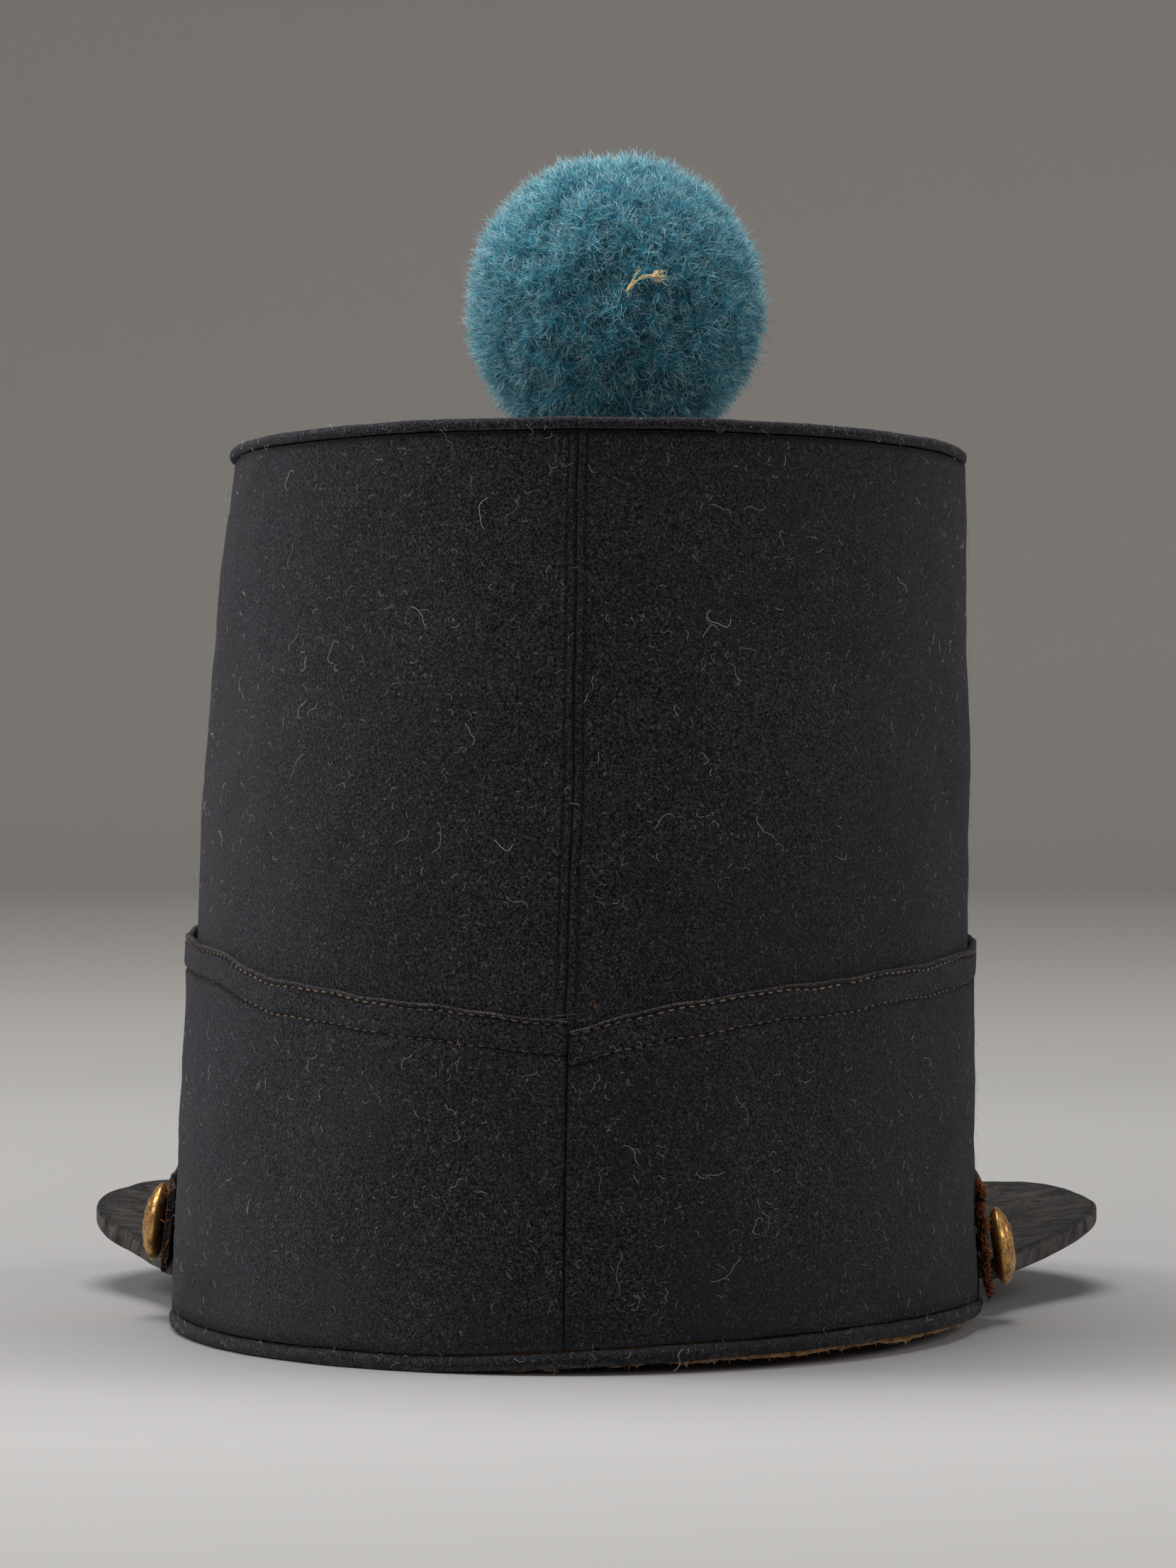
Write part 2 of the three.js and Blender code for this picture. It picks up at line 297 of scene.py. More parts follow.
def tube(path: np.ndarray, radii: Sequence[float], sides: int) -> Shape:
    """Points and faces of a closed tube along a path.

    Args:
        path: Places along the middle.
        radii: A radius for each place; the last one is drawn to a point.
        sides: Number of flat sides.

    Returns:
        Points and faces, faces outwards.
    """
    tangents = np.gradient(path, axis=0)
    tangents /= np.linalg.norm(tangents, axis=1, keepdims=True)
    side = np.cross(tangents[0], [0.31, 0.55, 0.77])
    rings = []
    for place, tangent, radius in zip(path[:-1], tangents, radii):
        side = side - tangent * (side @ tangent)
        side /= np.linalg.norm(side)
        other = np.cross(tangent, side)
        angles = np.arange(sides) * 2 * math.pi / sides
        rings.append(place + radius * (np.outer(np.cos(angles), side) + np.outer(np.sin(angles), other)))
    points = np.vstack([*rings, path[-1:]])
    faces = [list(range(sides))[::-1]]
    for ring in range(len(rings) - 1):
        for corner in range(sides):
            low, beside = ring * sides + corner, ring * sides + (corner + 1) % sides
            faces.append([low, beside, beside + sides, low + sides])
    tip, last = len(points) - 1, (len(rings) - 1) * sides
    faces += [[last + corner, last + (corner + 1) % sides, tip] for corner in range(sides)]
    return points, faces


def joined_tubes(name: str, paths: Sequence[np.ndarray], radius: float, sides: int) -> Thing:
    """One object out of several tapered threads.

    Args:
        name: Object name.
        paths: A path for each thread.
        radius: Radius at the start of each.
        sides: Number of flat sides.

    Returns:
        The new object.
    """
    points: list[np.ndarray] = []
    faces: list[list[int]] = []
    for path in paths:
        base = sum(len(block) for block in points)
        taper = radius * np.linspace(1.0, 0.55, len(path))
        block, block_faces = tube(path, taper, sides)
        points.append(block)
        faces += [[corner + base for corner in face] for face in block_faces]
    return new_object(name, np.vstack(points), faces)


def path_object(name: str, paths: Sequence[np.ndarray]) -> Thing:
    """A curve object with one straight-sided run per path.

    Args:
        name: Object name.
        paths: Places along each run.

    Returns:
        The new object.
    """
    data = bpy.data.curves.new(name, "CURVE")
    data.dimensions = "3D"
    for path in paths:
        spline = data.splines.new("POLY")
        spline.points.add(len(path) - 1)
        flat = np.concatenate([path * MM, np.ones((len(path), 1))], axis=1)
        spline.points.foreach_set("co", flat.ravel())
    thing = bpy.data.objects.new(name, data)
    bpy.context.scene.collection.objects.link(thing)
    return thing


# ---- node trees


class Tree:
    """A node tree that is filled one node at a time."""

    def __init__(self, nodes: bpy.types.NodeTree) -> None:
        """Keeps the tree."""
        self.tree = nodes

    def add(
        self,
        kind: str,
        inputs: Optional[Mapping[Key, object]] = None,
        out: Key = 0,
        **settings: object,
    ) -> Socket:
        """Adds a node with its settings, values and links.

        Args:
            kind: Node type.
            inputs: Socket name or number to a value, or to the socket that feeds it.
            out: Output wanted.
            **settings: Properties of the node.

        Returns:
            The wanted output socket.
        """
        node = self.tree.nodes.new(kind)
        for name, value in settings.items():
            setattr(node, name, value)
        for key, value in (inputs or {}).items():
            if isinstance(value, Socket):
                self.tree.links.new(value, node.inputs[key])
            else:
                node.inputs[key].default_value = value
        return node.outputs[out] if len(node.outputs) else node.inputs[0]


class GeometryTree(Tree):
    """Geometry Nodes with named inputs, and the identifier of each input by its name."""

    def __init__(self, name: str, kinds: Mapping[str, str]) -> None:
        """Makes the tree with its inputs and its output.

        Args:
            name: Name of the tree.
            kinds: Input name to the kind of its socket.
        """
        self.group = bpy.data.node_groups.new(name, "GeometryNodeTree")
        super().__init__(self.group)
        face = self.group.interface
        face.new_socket("Geometry", in_out="INPUT", socket_type="NodeSocketGeometry")
        self.ids = {
            name: face.new_socket(name, in_out="INPUT", socket_type=f"NodeSocket{kind}").identifier
            for name, kind in kinds.items()
        }
        face.new_socket("Geometry", in_out="OUTPUT", socket_type="NodeSocketGeometry")
        self.add("NodeGroupInput")
        self.given = self.group.nodes["Group Input"].outputs


class ScatterTree(GeometryTree):
    """Geometry Nodes that set fibres on a skin, standing up from it."""

    def __init__(self) -> None:
        """Builds the tree with its named inputs."""
        kinds = {
            "Density": "Float",
            "Seed": "Int",
            "Fibres": "Collection",
            "Smallest": "Float",
            "Largest": "Float",
            "Lean": "Float",
            "Material": "Material",
        }
        super().__init__("fibres_on_skin", kinds)
        tree, given = self, self.given
        spread = "GeometryNodeDistributePointsOnFaces"
        points = tree.add(spread, {"Mesh": given[0], "Density": given["Density"], "Seed": given["Seed"]})
        stand = points.node.outputs["Rotation"]
        low_lean = tree.add(MATH, {0: given["Lean"], 1: -1.0}, operation="MULTIPLY")
        low = tree.add("ShaderNodeCombineXYZ", {0: low_lean, 1: low_lean, 2: -math.pi})
        high = tree.add("ShaderNodeCombineXYZ", {0: given["Lean"], 1: given["Lean"], 2: math.pi})
        draw = {0: low, 1: high, "Seed": given["Seed"]}
        lean = tree.add("FunctionNodeRandomValue", draw, data_type="FLOAT_VECTOR")
        lean_turn = tree.add("FunctionNodeEulerToRotation", {0: lean})
        turn = tree.add("FunctionNodeRotateRotation", {0: stand, 1: lean_turn}, rotation_space="LOCAL")
        sizes = {2: given["Smallest"], 3: given["Largest"], "Seed": given["Seed"]}
        size = tree.add("FunctionNodeRandomValue", sizes, out=1, data_type="FLOAT")
        fibres = tree.add("GeometryNodeCollectionInfo", {0: given["Fibres"], 1: True, 2: True})
        placed = {0: points, 2: fibres, 3: True, 5: turn, 6: size}
        instances = tree.add("GeometryNodeInstanceOnPoints", placed)
        shade_in = {2: 0.0, 3: 1.0, "Seed": 77}
        shade = tree.add("FunctionNodeRandomValue", shade_in, out=1, data_type="FLOAT")
        store_in = {0: instances, 2: "shade", 3: shade}
        stored = tree.add(
            "GeometryNodeStoreNamedAttribute", store_in, data_type="FLOAT", domain="INSTANCE"
        )
        real = tree.add("GeometryNodeRealizeInstances", {0: stored})
        dressed = tree.add("GeometryNodeSetMaterial", {0: real, 2: given["Material"]})
        tree.add("NodeGroupOutput", {0: dressed})


class StitchTree(GeometryTree):
    """Geometry Nodes that lay a short thread at even steps along a path."""

    def __init__(self) -> None:
        """Builds the tree with its named inputs."""
        kinds = {
            "Pitch": "Float",
            "Length": "Float",
            "Thickness": "Float",
            "Seed": "Int",
            "Material": "Material",
        }
        super().__init__("stitches_on_path", kinds)
        tree, given = self, self.given
        sampled = tree.add("GeometryNodeResampleCurve", {0: given[0], 3: given["Pitch"]}, mode="LENGTH")
        ball = tree.add("GeometryNodeMeshUVSphere", {0: 6, 1: 5, 2: 0.5})
        size_in = {0: given["Length"], 1: given["Thickness"], 2: given["Thickness"]}
        size = tree.add("ShaderNodeCombineXYZ", size_in)
        dash = tree.add("GeometryNodeTransform", {0: ball, 3: size})
        way = tree.add("GeometryNodeInputTangent")
        along = tree.add("FunctionNodeAlignRotationToVector", {2: way}, axis="X")
        low = {0: (-0.1, -0.1, -0.1), 1: (0.1, 0.1, 0.1), "Seed": given["Seed"]}
        jitter = tree.add("FunctionNodeRandomValue", low, data_type="FLOAT_VECTOR")
        lean_turn = tree.add("FunctionNodeEulerToRotation", {0: jitter})
        turn = tree.add("FunctionNodeRotateRotation", {0: along, 1: lean_turn}, rotation_space="LOCAL")
        draw = {2: 0.8, 3: 1.12, "Seed": given["Seed"]}
        scale = tree.add("FunctionNodeRandomValue", draw, out=1, data_type="FLOAT")
        kept_in = {6: 0.96, "Seed": given["Seed"]}
        kept = tree.add("FunctionNodeRandomValue", kept_in, out=3, data_type="BOOLEAN")
        placed = {0: sampled, 1: kept, 2: dash, 5: turn, 6: scale}
        instances = tree.add("GeometryNodeInstanceOnPoints", placed)
        real = tree.add("GeometryNodeRealizeInstances", {0: instances})
        dressed = tree.add("GeometryNodeSetMaterial", {0: real, 2: given["Material"]})
        tree.add("NodeGroupOutput", {0: dressed})


def grown(
    name: str,
    source: Thing,
    tree: GeometryTree,
    values: Mapping[str, object],
) -> Thing:
    """Runs a node tree on an object and keeps the result as a plain mesh.

    Args:
        name: Name of the new object.
        source: Skin or path; it is removed afterwards.
        tree: Tree to run.
        values: Input name to value.

    Returns:
        The new object.
    """
    modifier = source.modifiers.new(name, "NODES")
    modifier.node_group = tree.group
    for key, value in values.items():
        modifier[tree.ids[key]] = value
    source.update_tag()
    bpy.context.view_layer.update()
    depsgraph = bpy.context.evaluated_depsgraph_get()
    mesh = bpy.data.meshes.new_from_object(source.evaluated_get(depsgraph), depsgraph=depsgraph)
    mesh.name = name
    source.modifiers.remove(modifier)
    bpy.data.objects.remove(source)
    mesh.materials.clear()
    mesh.materials.append(values["Material"])
    mesh.polygons.foreach_set("use_smooth", [True] * len(mesh.polygons))
    thing = bpy.data.objects.new(name, mesh)
    bpy.context.scene.collection.objects.link(thing)
    return thing


class FibreBox:
    """A collection of small fibre shapes for the node trees, kept out of the scene."""

    def __init__(self, name: str, kinds: Sequence[Shape]) -> None:
        """Makes one object per kind of fibre.

        Args:
            name: Name of the collection.
            kinds: Points and faces of each kind.
        """
        self.collection = bpy.data.collections.new(name)
        for number, (points, faces) in enumerate(kinds):
            mesh = bpy.data.meshes.new(f"{name}_{number}")
            mesh.from_pydata((points * MM).tolist(), [], faces)
            thing = bpy.data.objects.new(f"{name}_{number}", mesh)
            self.collection.objects.link(thing)

    def empty(self) -> None:
        """Removes the fibre shapes."""
        for thing in list(self.collection.objects):
            bpy.data.objects.remove(thing)
        bpy.data.collections.remove(self.collection)


# ---- finishes


@dataclass(frozen=True)
class Stain:
    """A soft round mark on the cloth: its turn and level, its reach, its colour and its strength."""

    turn: float
    level: float
    reach: float
    colour: str
    strength: float


class Slot(Enum):
    """Material slots of the record."""

    CLOTH = "black_broadcloth"
    LEATHER = "black_leather"
    TAN = "tan_leather"
    BRASS = "old_brass"
    WOOL = "teal_wool"


class Surface:
    """A new material, ready for nodes, with its Object coordinates."""

    def __init__(self, name: str) -> None:
        """Makes the material and finds its shader.

        Args:
            name: Name of the material.
        """
        self.material = bpy.data.materials.new(name)
        self.material.use_nodes = True
        self.tree = Tree(self.material.node_tree)
        self.place = self.tree.add("ShaderNodeTexCoord", out="Object")
        self.shader = self.material.node_tree.nodes["Principled BSDF"]

    def set(self, values: Mapping[str, object]) -> Finish:
        """Sets or links the shader's sockets.

        Args:
            values: Socket name to a value, or to the socket that feeds it.

        Returns:
            The finished material.
        """
        for key, value in values.items():
            if isinstance(value, Socket):
                self.tree.tree.links.new(value, self.shader.inputs[key])
            else:
                self.shader.inputs[key].default_value = value
        return self.material


@dataclass(frozen=True)
class NappedBroadcloth:
    """Milled woollen broadcloth, dyed blue-black: a soft matte felted nap, dusty, with a pale bloom at
    grazing angles and the plain weave showing only where the nap has rubbed off. Painted shade darkens
    its seams, stitch rows and needle holes, and painted highlight joins the rubbed nap on worn edges."""

    name: str = "napped_broadcloth"
    deep: str = "#030304"
    lit: str = "#45454b"
    dust: str = "#85858b"
    rusty: str = "#241d1a"
    # Colour of rubbed nap, also laid on the band's folded edge as painted highlight.
    rubbed: str = "#776c64"
    # Colour of painted shade in seams, stitch rows and needle holes.
    painted_shade_colour: str = "#020203"
    haze: str = "#c9ccd6"
    # A wool fibre is about 0.02 mm thick, so the nap is drawn as far coarser flecks that still show.
    grain: float = 0.42
    mote: float = 0.6
    fluff: float = 3.2
    cloud: float = 34
    # Threads lie about 0.5 mm apart in broadcloth and are drawn a little wider, to show.
    thread: float = 0.62
    weave: float = 0.25
    bare_below: float = 12.0
    bloom: float = 0.2
    nap_height: float = 0.45
    stains: tuple[Stain, ...] = ()

    def stained(
        self,
        tree: Tree,
        place: Socket,
        fluff: Socket,
        shade: Socket,
    ) -> Socket:
        """Lays the stains over the cloth's colour.

        Args:
            tree: The material's tree.
            place: Object coordinates.
            fluff: Noise that breaks up the edge of each stain.
            shade: Colour so far.

        Returns:
            The colour with its stains.
        """
        for stain in self.stains:
            middle = HatForm().place(np.array(stain.turn), np.array(stain.level), 0.3)
            spot = tuple((middle * MM).tolist())
            away = tree.add("ShaderNodeVectorMath", {0: place, 1: spot}, out=1, operation="DISTANCE")
            blur = tree.add(MATH, {0: fluff, 1: stain.reach * MM}, operation="MULTIPLY")
            away = tree.add(MATH, {0: away, 1: blur}, operation="ADD")
            reach = {1: stain.reach * 0.4 * MM, 2: stain.reach * 1.4 * MM, 3: stain.strength, 4: 0.0}
            there = tree.add(RANGE, {0: away, **reach})
            shade = tree.add(MIX, {0: there, 6: shade, 7: linear(stain.colour)}, **AS_COLOUR)
        return shade

    def bare_weave(
        self, tree: Tree, place: Socket, cloud: Socket
    ) -> Socket:
        """Makes the plain weave that shows near the rim, where the nap has gone.

        Args:
            tree: The material's tree.
            place: Object coordinates.
            cloud: Slow noise that leaves some patches napped.

        Returns:
            Height of the threads, from -1 to 1, and 0 where the nap still covers them.
        """
        cloth = tree.add("ShaderNodeUVMap", uv_map="cloth")
        axes = tree.add("ShaderNodeSeparateXYZ", {0: cloth}).node.outputs
        turns = 2 * math.pi / (self.thread * MM)
        threads = []
        for axis in (axes[0], axes[1]):
            phase = tree.add(MATH, {0: axis, 1: turns}, operation="MULTIPLY")
            threads.append(tree.add(MATH, {0: phase}, operation="SINE"))
        check = tree.add(MATH, {0: threads[0], 1: threads[1]}, operation="MULTIPLY")
        height = tree.add("ShaderNodeSeparateXYZ", {0: place}).node.outputs[2]
        bare_in = {0: height, 1: self.bare_below * MM, 2: self.bare_below * 2.2 * MM, 3: 1.0, 4: 0.0}
        bare = tree.add(RANGE, bare_in)
        patchy = tree.add(RANGE, {0: cloud, 1: 0.35, 2: 0.6, 3: 0.25, 4: 1.0})
        bare = tree.add(MATH, {0: bare, 1: patchy}, operation="MULTIPLY")
        return tree.add(MATH, {0: check, 1: bare}, operation="MULTIPLY")

    def make(self) -> Finish:
        """Builds the material.

        Returns:
            The new material.
        """
        surface = Surface(self.name)
        tree, place = surface.tree, surface.place
        metre = 1 / MM
        nap_in = {"Vector": place, "Scale": metre / self.grain, "Detail": 3.0, "Roughness": 0.62}
        nap = tree.add(NOISE, {**nap_in, "Distortion": 0.8})
        mote_in = {"Vector": place, "Scale": metre / self.mote, "Detail": 2.0, "Roughness": 0.5}
        mote = tree.add(NOISE, mote_in)
        cloud_in = {"Vector": place, "Scale": metre / self.cloud, "Detail": 3.0, "Roughness": 0.6}
        cloud = tree.add(NOISE, cloud_in)
        fluff_in = {"Vector": place, "Scale": metre / self.fluff, "Detail": 5.0, "Roughness": 0.75}
        fluff = tree.add(NOISE, {**fluff_in, "Distortion": 1.4})

        nap_share = tree.add(RANGE, {0: nap, 1: 0.44, 2: 0.66})
        shade = tree.add(MIX, {0: nap_share, 6: linear(self.deep), 7: linear(self.lit)}, **AS_COLOUR)
        worn = tree.add(RANGE, {0: cloud, 1: 0.42, 2: 0.7, 3: 0.0, 4: 0.5})
        shade = tree.add(MIX, {0: worn, 6: shade, 7: linear(self.rusty)}, **AS_COLOUR)
        haze = tree.add(RANGE, {0: fluff, 1: 0.42, 2: 0.7, 3: 0.2, 4: 1.0})
        motes = tree.add(RANGE, {0: mote, 1: 0.6, 2: 0.72, 3: 0.0, 4: 0.75})
        dusty = tree.add(MATH, {0: haze, 1: motes}, operation="MULTIPLY")
        shade = tree.add(MIX, {0: dusty, 6: shade, 7: linear(self.dust)}, **AS_COLOUR)
        shade = self.stained(tree, place, fluff, shade)
        check = self.bare_weave(tree, place, cloud)
        pale = tree.add(RANGE, {0: check, 1: -1.0, 2: 1.0, 3: -self.weave, 4: self.weave})
        gain = tree.add(MATH, {0: pale, 1: 1.0}, operation="ADD")
        shade = tree.add(MIX, {0: 1.0, 6: shade, 7: gain}, blend_type="MULTIPLY", **AS_COLOUR)

        # Rubbed nap and painted highlight: paler on the lighter flecks of nap where the mesh marks worn
        # or edge-lit places.
        wear = tree.add("ShaderNodeAttribute", out="Fac", attribute_name="wear")
        wear = tree.add(MATH, {0: wear, 1: nap_share}, operation="MULTIPLY")
        shade = tree.add(MIX, {0: wear, 6: shade, 7: linear(self.rubbed)}, **AS_COLOUR)
        # Painted shade: darkens the colour where the mesh marks seams, stitch rows, needle holes and the
        # cloth under the top cord.
        crease = tree.add("ShaderNodeAttribute", out="Fac", attribute_name="crease")
        shade = tree.add(MIX, {0: crease, 6: shade, 7: linear(self.painted_shade_colour)}, **AS_COLOUR)

        relief = tree.add(MATH, {0: check, 1: 0.6}, operation="MULTIPLY")
        relief = tree.add(MATH, {0: relief, 1: nap}, operation="ADD")
        bump = tree.add("ShaderNodeBump", {0: 1.0, 1: self.nap_height * MM, "Height": relief})
        return surface.set(
            {
                "Base Color": shade,
                "Roughness": 0.96,
                "Specular IOR Level": 0.12,
                "Sheen Weight": self.bloom,
                "Sheen Roughness": 0.45,
                "Sheen Tint": linear(self.haze),
                "Normal": bump,
            }
        )


@dataclass(frozen=True)
class WornBlackLeather:
    """Blacked harness leather gone dull: low gloss, fine drag lines along it, greyed high spots and
    brown showing through where the dressing has rubbed off. On the visor, painted highlight joins the
    rubbed grey of its rim, and painted shade darkens a line along its rounded edge."""

    name: str = "worn_black_leather"
    black: str = "#050505"
    grey: str = "#3f3b38"
    brown: str = "#1b1512"
    # Colour of rubbed leather, also laid on the visor's rim as painted highlight.
    bare: str = "#5b5856"
    gloss: float = 0.58
    drag: tuple[float, float, float] = (0.5, 1.0, 1.0)
    streak: float = 3.4
    scuff: float = 1.3
    cloud: float = 14
    # Pores are about 0.2 mm apart and are drawn wider, to show.
    pore: float = 0.7
    grain_height: float = 0.3

    def make(self) -> Finish:
        """Builds the material.

        Returns:
            The new material.
        """
        surface = Surface(self.name)
        tree, place = surface.tree, surface.place
        drawn = tree.add("ShaderNodeMapping", {0: place, 3: self.drag})
        streak_in = {"Vector": drawn, "Scale": 1 / (self.streak * MM), "Detail": 7.0}
        streak = tree.add(NOISE, {**streak_in, "Roughness": 0.7, "Distortion": 0.6})
        cloud = tree.add(NOISE, {"Vector": place, "Scale": 1 / (self.cloud * MM), "Detail": 4.0})
        pore = tree.add(NOISE, {"Vector": place, "Scale": 1 / (self.pore * MM), "Detail": 2.0})
        scuff_in = {"Vector": place, "Scale": 1 / (self.scuff * MM), "Detail": 6.0, "Roughness": 0.75}
        scuff = tree.add(NOISE, scuff_in)
        mottle = tree.add(MIX, {0: 0.4, 2: streak, 3: scuff}, data_type="FLOAT")
        pale = tree.add(RANGE, {0: mottle, 1: 0.42, 2: 0.58})
        shade = tree.add(MIX, {0: pale, 6: linear(self.black), 7: linear(self.grey)}, **AS_COLOUR)
        rubbed = tree.add(RANGE, {0: cloud, 1: 0.55, 2: 0.75, 3: 0.0, 4: 0.6})
        shade = tree.add(MIX, {0: rubbed, 6: shade, 7: linear(self.brown)}, **AS_COLOUR)
        # Rubbed dressing and painted highlight: paler where the mesh marks the visor's worn, edge-lit
        # rim.
        wear = tree.add("ShaderNodeAttribute", out="Fac", attribute_name="wear")
        shade = tree.add(MIX, {0: wear, 6: shade, 7: linear(self.bare)}, **AS_COLOUR)
        # Painted shade: black where the mesh marks a line along the top of the visor's rounded edge.
        crease = tree.add("ShaderNodeAttribute", out="Fac", attribute_name="crease")
        shade = tree.add(MIX, {0: crease, 6: shade, 7: linear(self.black)}, **AS_COLOUR)
        rough = tree.add(RANGE, {0: streak, 1: 0.35, 2: 0.7, 3: self.gloss, 4: self.gloss + 0.22})
        relief = tree.add(MATH, {0: mottle, 1: pore}, operation="ADD")
        bump = tree.add("ShaderNodeBump", {0: 0.6, 1: self.grain_height * MM, "Height": relief})
        return surface.set(
            {
                "Base Color": shade,
                "Roughness": rough,
                "IOR": 1.48,
                "Specular IOR Level": 0.22,
                "Normal": bump,
            }
        )


@dataclass(frozen=True)
class RottedLeather:
    """Vegetable-tanned leather gone to red rot: rust-brown, dry and powdery, with near-black cracks."""

    name: str = "red_rotted_leather"
    rust: str = "#94542a"
    crust: str = "#0c0504"
    crack: float = 0.9
    spread: tuple[float, float] = (0.5, 0.66)
    crumb_height: float = 0.6

    def make(self) -> Finish:
        """Builds the material.

        Returns:
            The new material.
        """
        surface = Surface(self.name)
        tree, place = surface.tree, surface.place
        crumb_in = {"Vector": place, "Scale": 1 / (self.crack * MM), "Detail": 6.0, "Roughness": 0.75}
        crumb = tree.add(NOISE, crumb_in)
        opened = tree.add(RANGE, {0: crumb, 1: self.spread[0], 2: self.spread[1]})
        shade = tree.add(MIX, {0: opened, 6: linear(self.crust), 7: linear(self.rust)}, **AS_COLOUR)
        bump = tree.add("ShaderNodeBump", {0: 0.9, 1: self.crumb_height * MM, "Height": crumb})
        return surface.set({"Base Color": shade, "Roughness": 0.9, "Normal": bump})


@dataclass(frozen=True)
class FibreFinish:
    """Loose fibre or thread of one material: matte, each strand a little lighter or darker."""

    name: str
    dark: str
    light: str
    roughness: float = 0.9
    bloom: float = 0.2
    clump: float = 0.0
    clump_colour: str = "#000000"
    fine: float = 1.5

    def make(self) -> Finish:
        """Builds the material.

        Returns:
            The new material.
        """
        surface = Surface(self.name)
        tree, place = surface.tree, surface.place
        each = tree.add("ShaderNodeAttribute", out="Fac", attribute_name="shade")
        fine = tree.add(NOISE, {"Vector": place, "Scale": 1 / (self.fine * MM), "Detail": 3.0})
        total = tree.add(MATH, {0: each, 1: fine}, operation="ADD")
        share = tree.add(RANGE, {0: total, 1: 0.6, 2: 1.45})
        shade = tree.add(MIX, {0: share, 6: linear(self.dark), 7: linear(self.light)}, **AS_COLOUR)
        if self.clump:
            tuft_in = {"Vector": place, "Scale": 1 / (self.clump * MM), "Detail": 4.0}
            tuft = tree.add(NOISE, {**tuft_in, "Roughness": 0.6})
            there = tree.add(RANGE, {0: tuft, 1: 0.42, 2: 0.66, 3: 0.0, 4: 0.8})
            shade = tree.add(MIX, {0: there, 6: shade, 7: linear(self.clump_colour)}, **AS_COLOUR)
        return surface.set(
            {
                "Base Color": shade,
                "Roughness": self.roughness,
                "Specular IOR Level": 0.2,
                "Sheen Weight": self.bloom,
                "Sheen Roughness": 0.5,
                "Sheen Tint": linear(self.light),
            }
        )


@dataclass(frozen=True)
class TarnishedGilt:
    """Stamped brass with worn gilding: warm yellow metal, browned in its hollows, with dark pits."""

    name: str = "tarnished_gilt_brass"
    gilt: str = "#dba862"
    brown: str = "#6f5430"
    pit: str = "#231a12"
    cloud: float = 3.0
    speck: float = 0.8
    pit_depth: float = 0.15

    def make(self) -> Finish:
        """Builds the material.

        Returns:
            The new material.
        """
        surface = Surface(self.name)
        tree, place = surface.tree, surface.place
        cloud_in = {"Vector": place, "Scale": 1 / (self.cloud * MM), "Detail": 4.0, "Roughness": 0.6}
        cloud = tree.add(NOISE, cloud_in)
        speck_in = {"Vector": place, "Scale": 1 / (self.speck * MM), "Detail": 3.0, "Roughness": 0.7}
        speck = tree.add(NOISE, speck_in)
        dull = tree.add(RANGE, {0: cloud, 1: 0.44, 2: 0.64})
        shade = tree.add(MIX, {0: dull, 6: linear(self.gilt), 7: linear(self.brown)}, **AS_COLOUR)
        pits = tree.add(RANGE, {0: speck, 1: 0.57, 2: 0.66})
        shade = tree.add(MIX, {0: pits, 6: shade, 7: linear(self.pit)}, **AS_COLOUR)
        rough = tree.add(RANGE, {0: cloud, 1: 0.35, 2: 0.7, 3: 0.34, 4: 0.55})
        metal = tree.add(RANGE, {0: pits, 3: 0.95, 4: 0.3})
        bump = tree.add("ShaderNodeBump", {0: 0.3, 1: self.pit_depth * MM, "Height": speck})
        return surface.set(
            {"Base Color": shade, "Roughness": rough, "Metallic": metal, "Normal": bump}
        )


@dataclass(frozen=True)
class PaleFloor:
    """Matte pale board that sweeps up into a mid-grey wall, its colour painted by place to stand in for
    light:
    darker round and behind the hat as painted shade, lighter on the camera's side as painted light, and
    graded with distance out to the wall.
    """

    name: str = "pale_floor"
    # Colours of the floor at each place, painted to stand in for light and shade.
    near: str = "#a09e9d"
    front: str = "#bcbab9"
    middle: str = "#aaa8a6"
    wall: str = "#cdc8c3"

    def make(self) -> Finish:
        """Builds the material.

        Returns:
            The new material.
        """
        surface = Surface(self.name)
        tree, place = surface.tree, surface.place
        level = tree.add("ShaderNodeVectorMath", {0: place, 1: (1.0, 1.0, 0.0)}, operation="MULTIPLY")
        reach = tree.add("ShaderNodeVectorMath", {0: level}, out=1, operation="LENGTH")
        # Painted shade and light: darker round and behind the hat, lighter towards the camera.
        ahead = tree.add("ShaderNodeSeparateXYZ", {0: place}).node.outputs[1]
        nearer = tree.add(RANGE, {0: ahead, 1: 0.02, 2: 0.2})
        shade = tree.add(MIX, {0: nearer, 6: linear(self.near), 7: linear(self.front)}, **AS_COLOUR)
        # Painted light: the tone is graded with distance from the hat out to the wall.
        first = tree.add(RANGE, {0: reach, 1: 0.12, 2: 0.55})
        shade = tree.add(MIX, {0: first, 6: shade, 7: linear(self.middle)}, **AS_COLOUR)
        rise = tree.add(RANGE, {0: reach, 1: 0.75, 2: 2.0})
        shade = tree.add(MIX, {0: rise, 6: shade, 7: linear(self.wall)}, **AS_COLOUR)
        return surface.set({"Base Color": shade, "Roughness": 0.9, "Specular IOR Level": 0.1})


# ---- form of the hat


class Section(NamedTuple):
    """One level oval of the crown's outer face."""

    level: float
    centre_x: float
    centre_y: float
    half_width: float
    half_depth: float


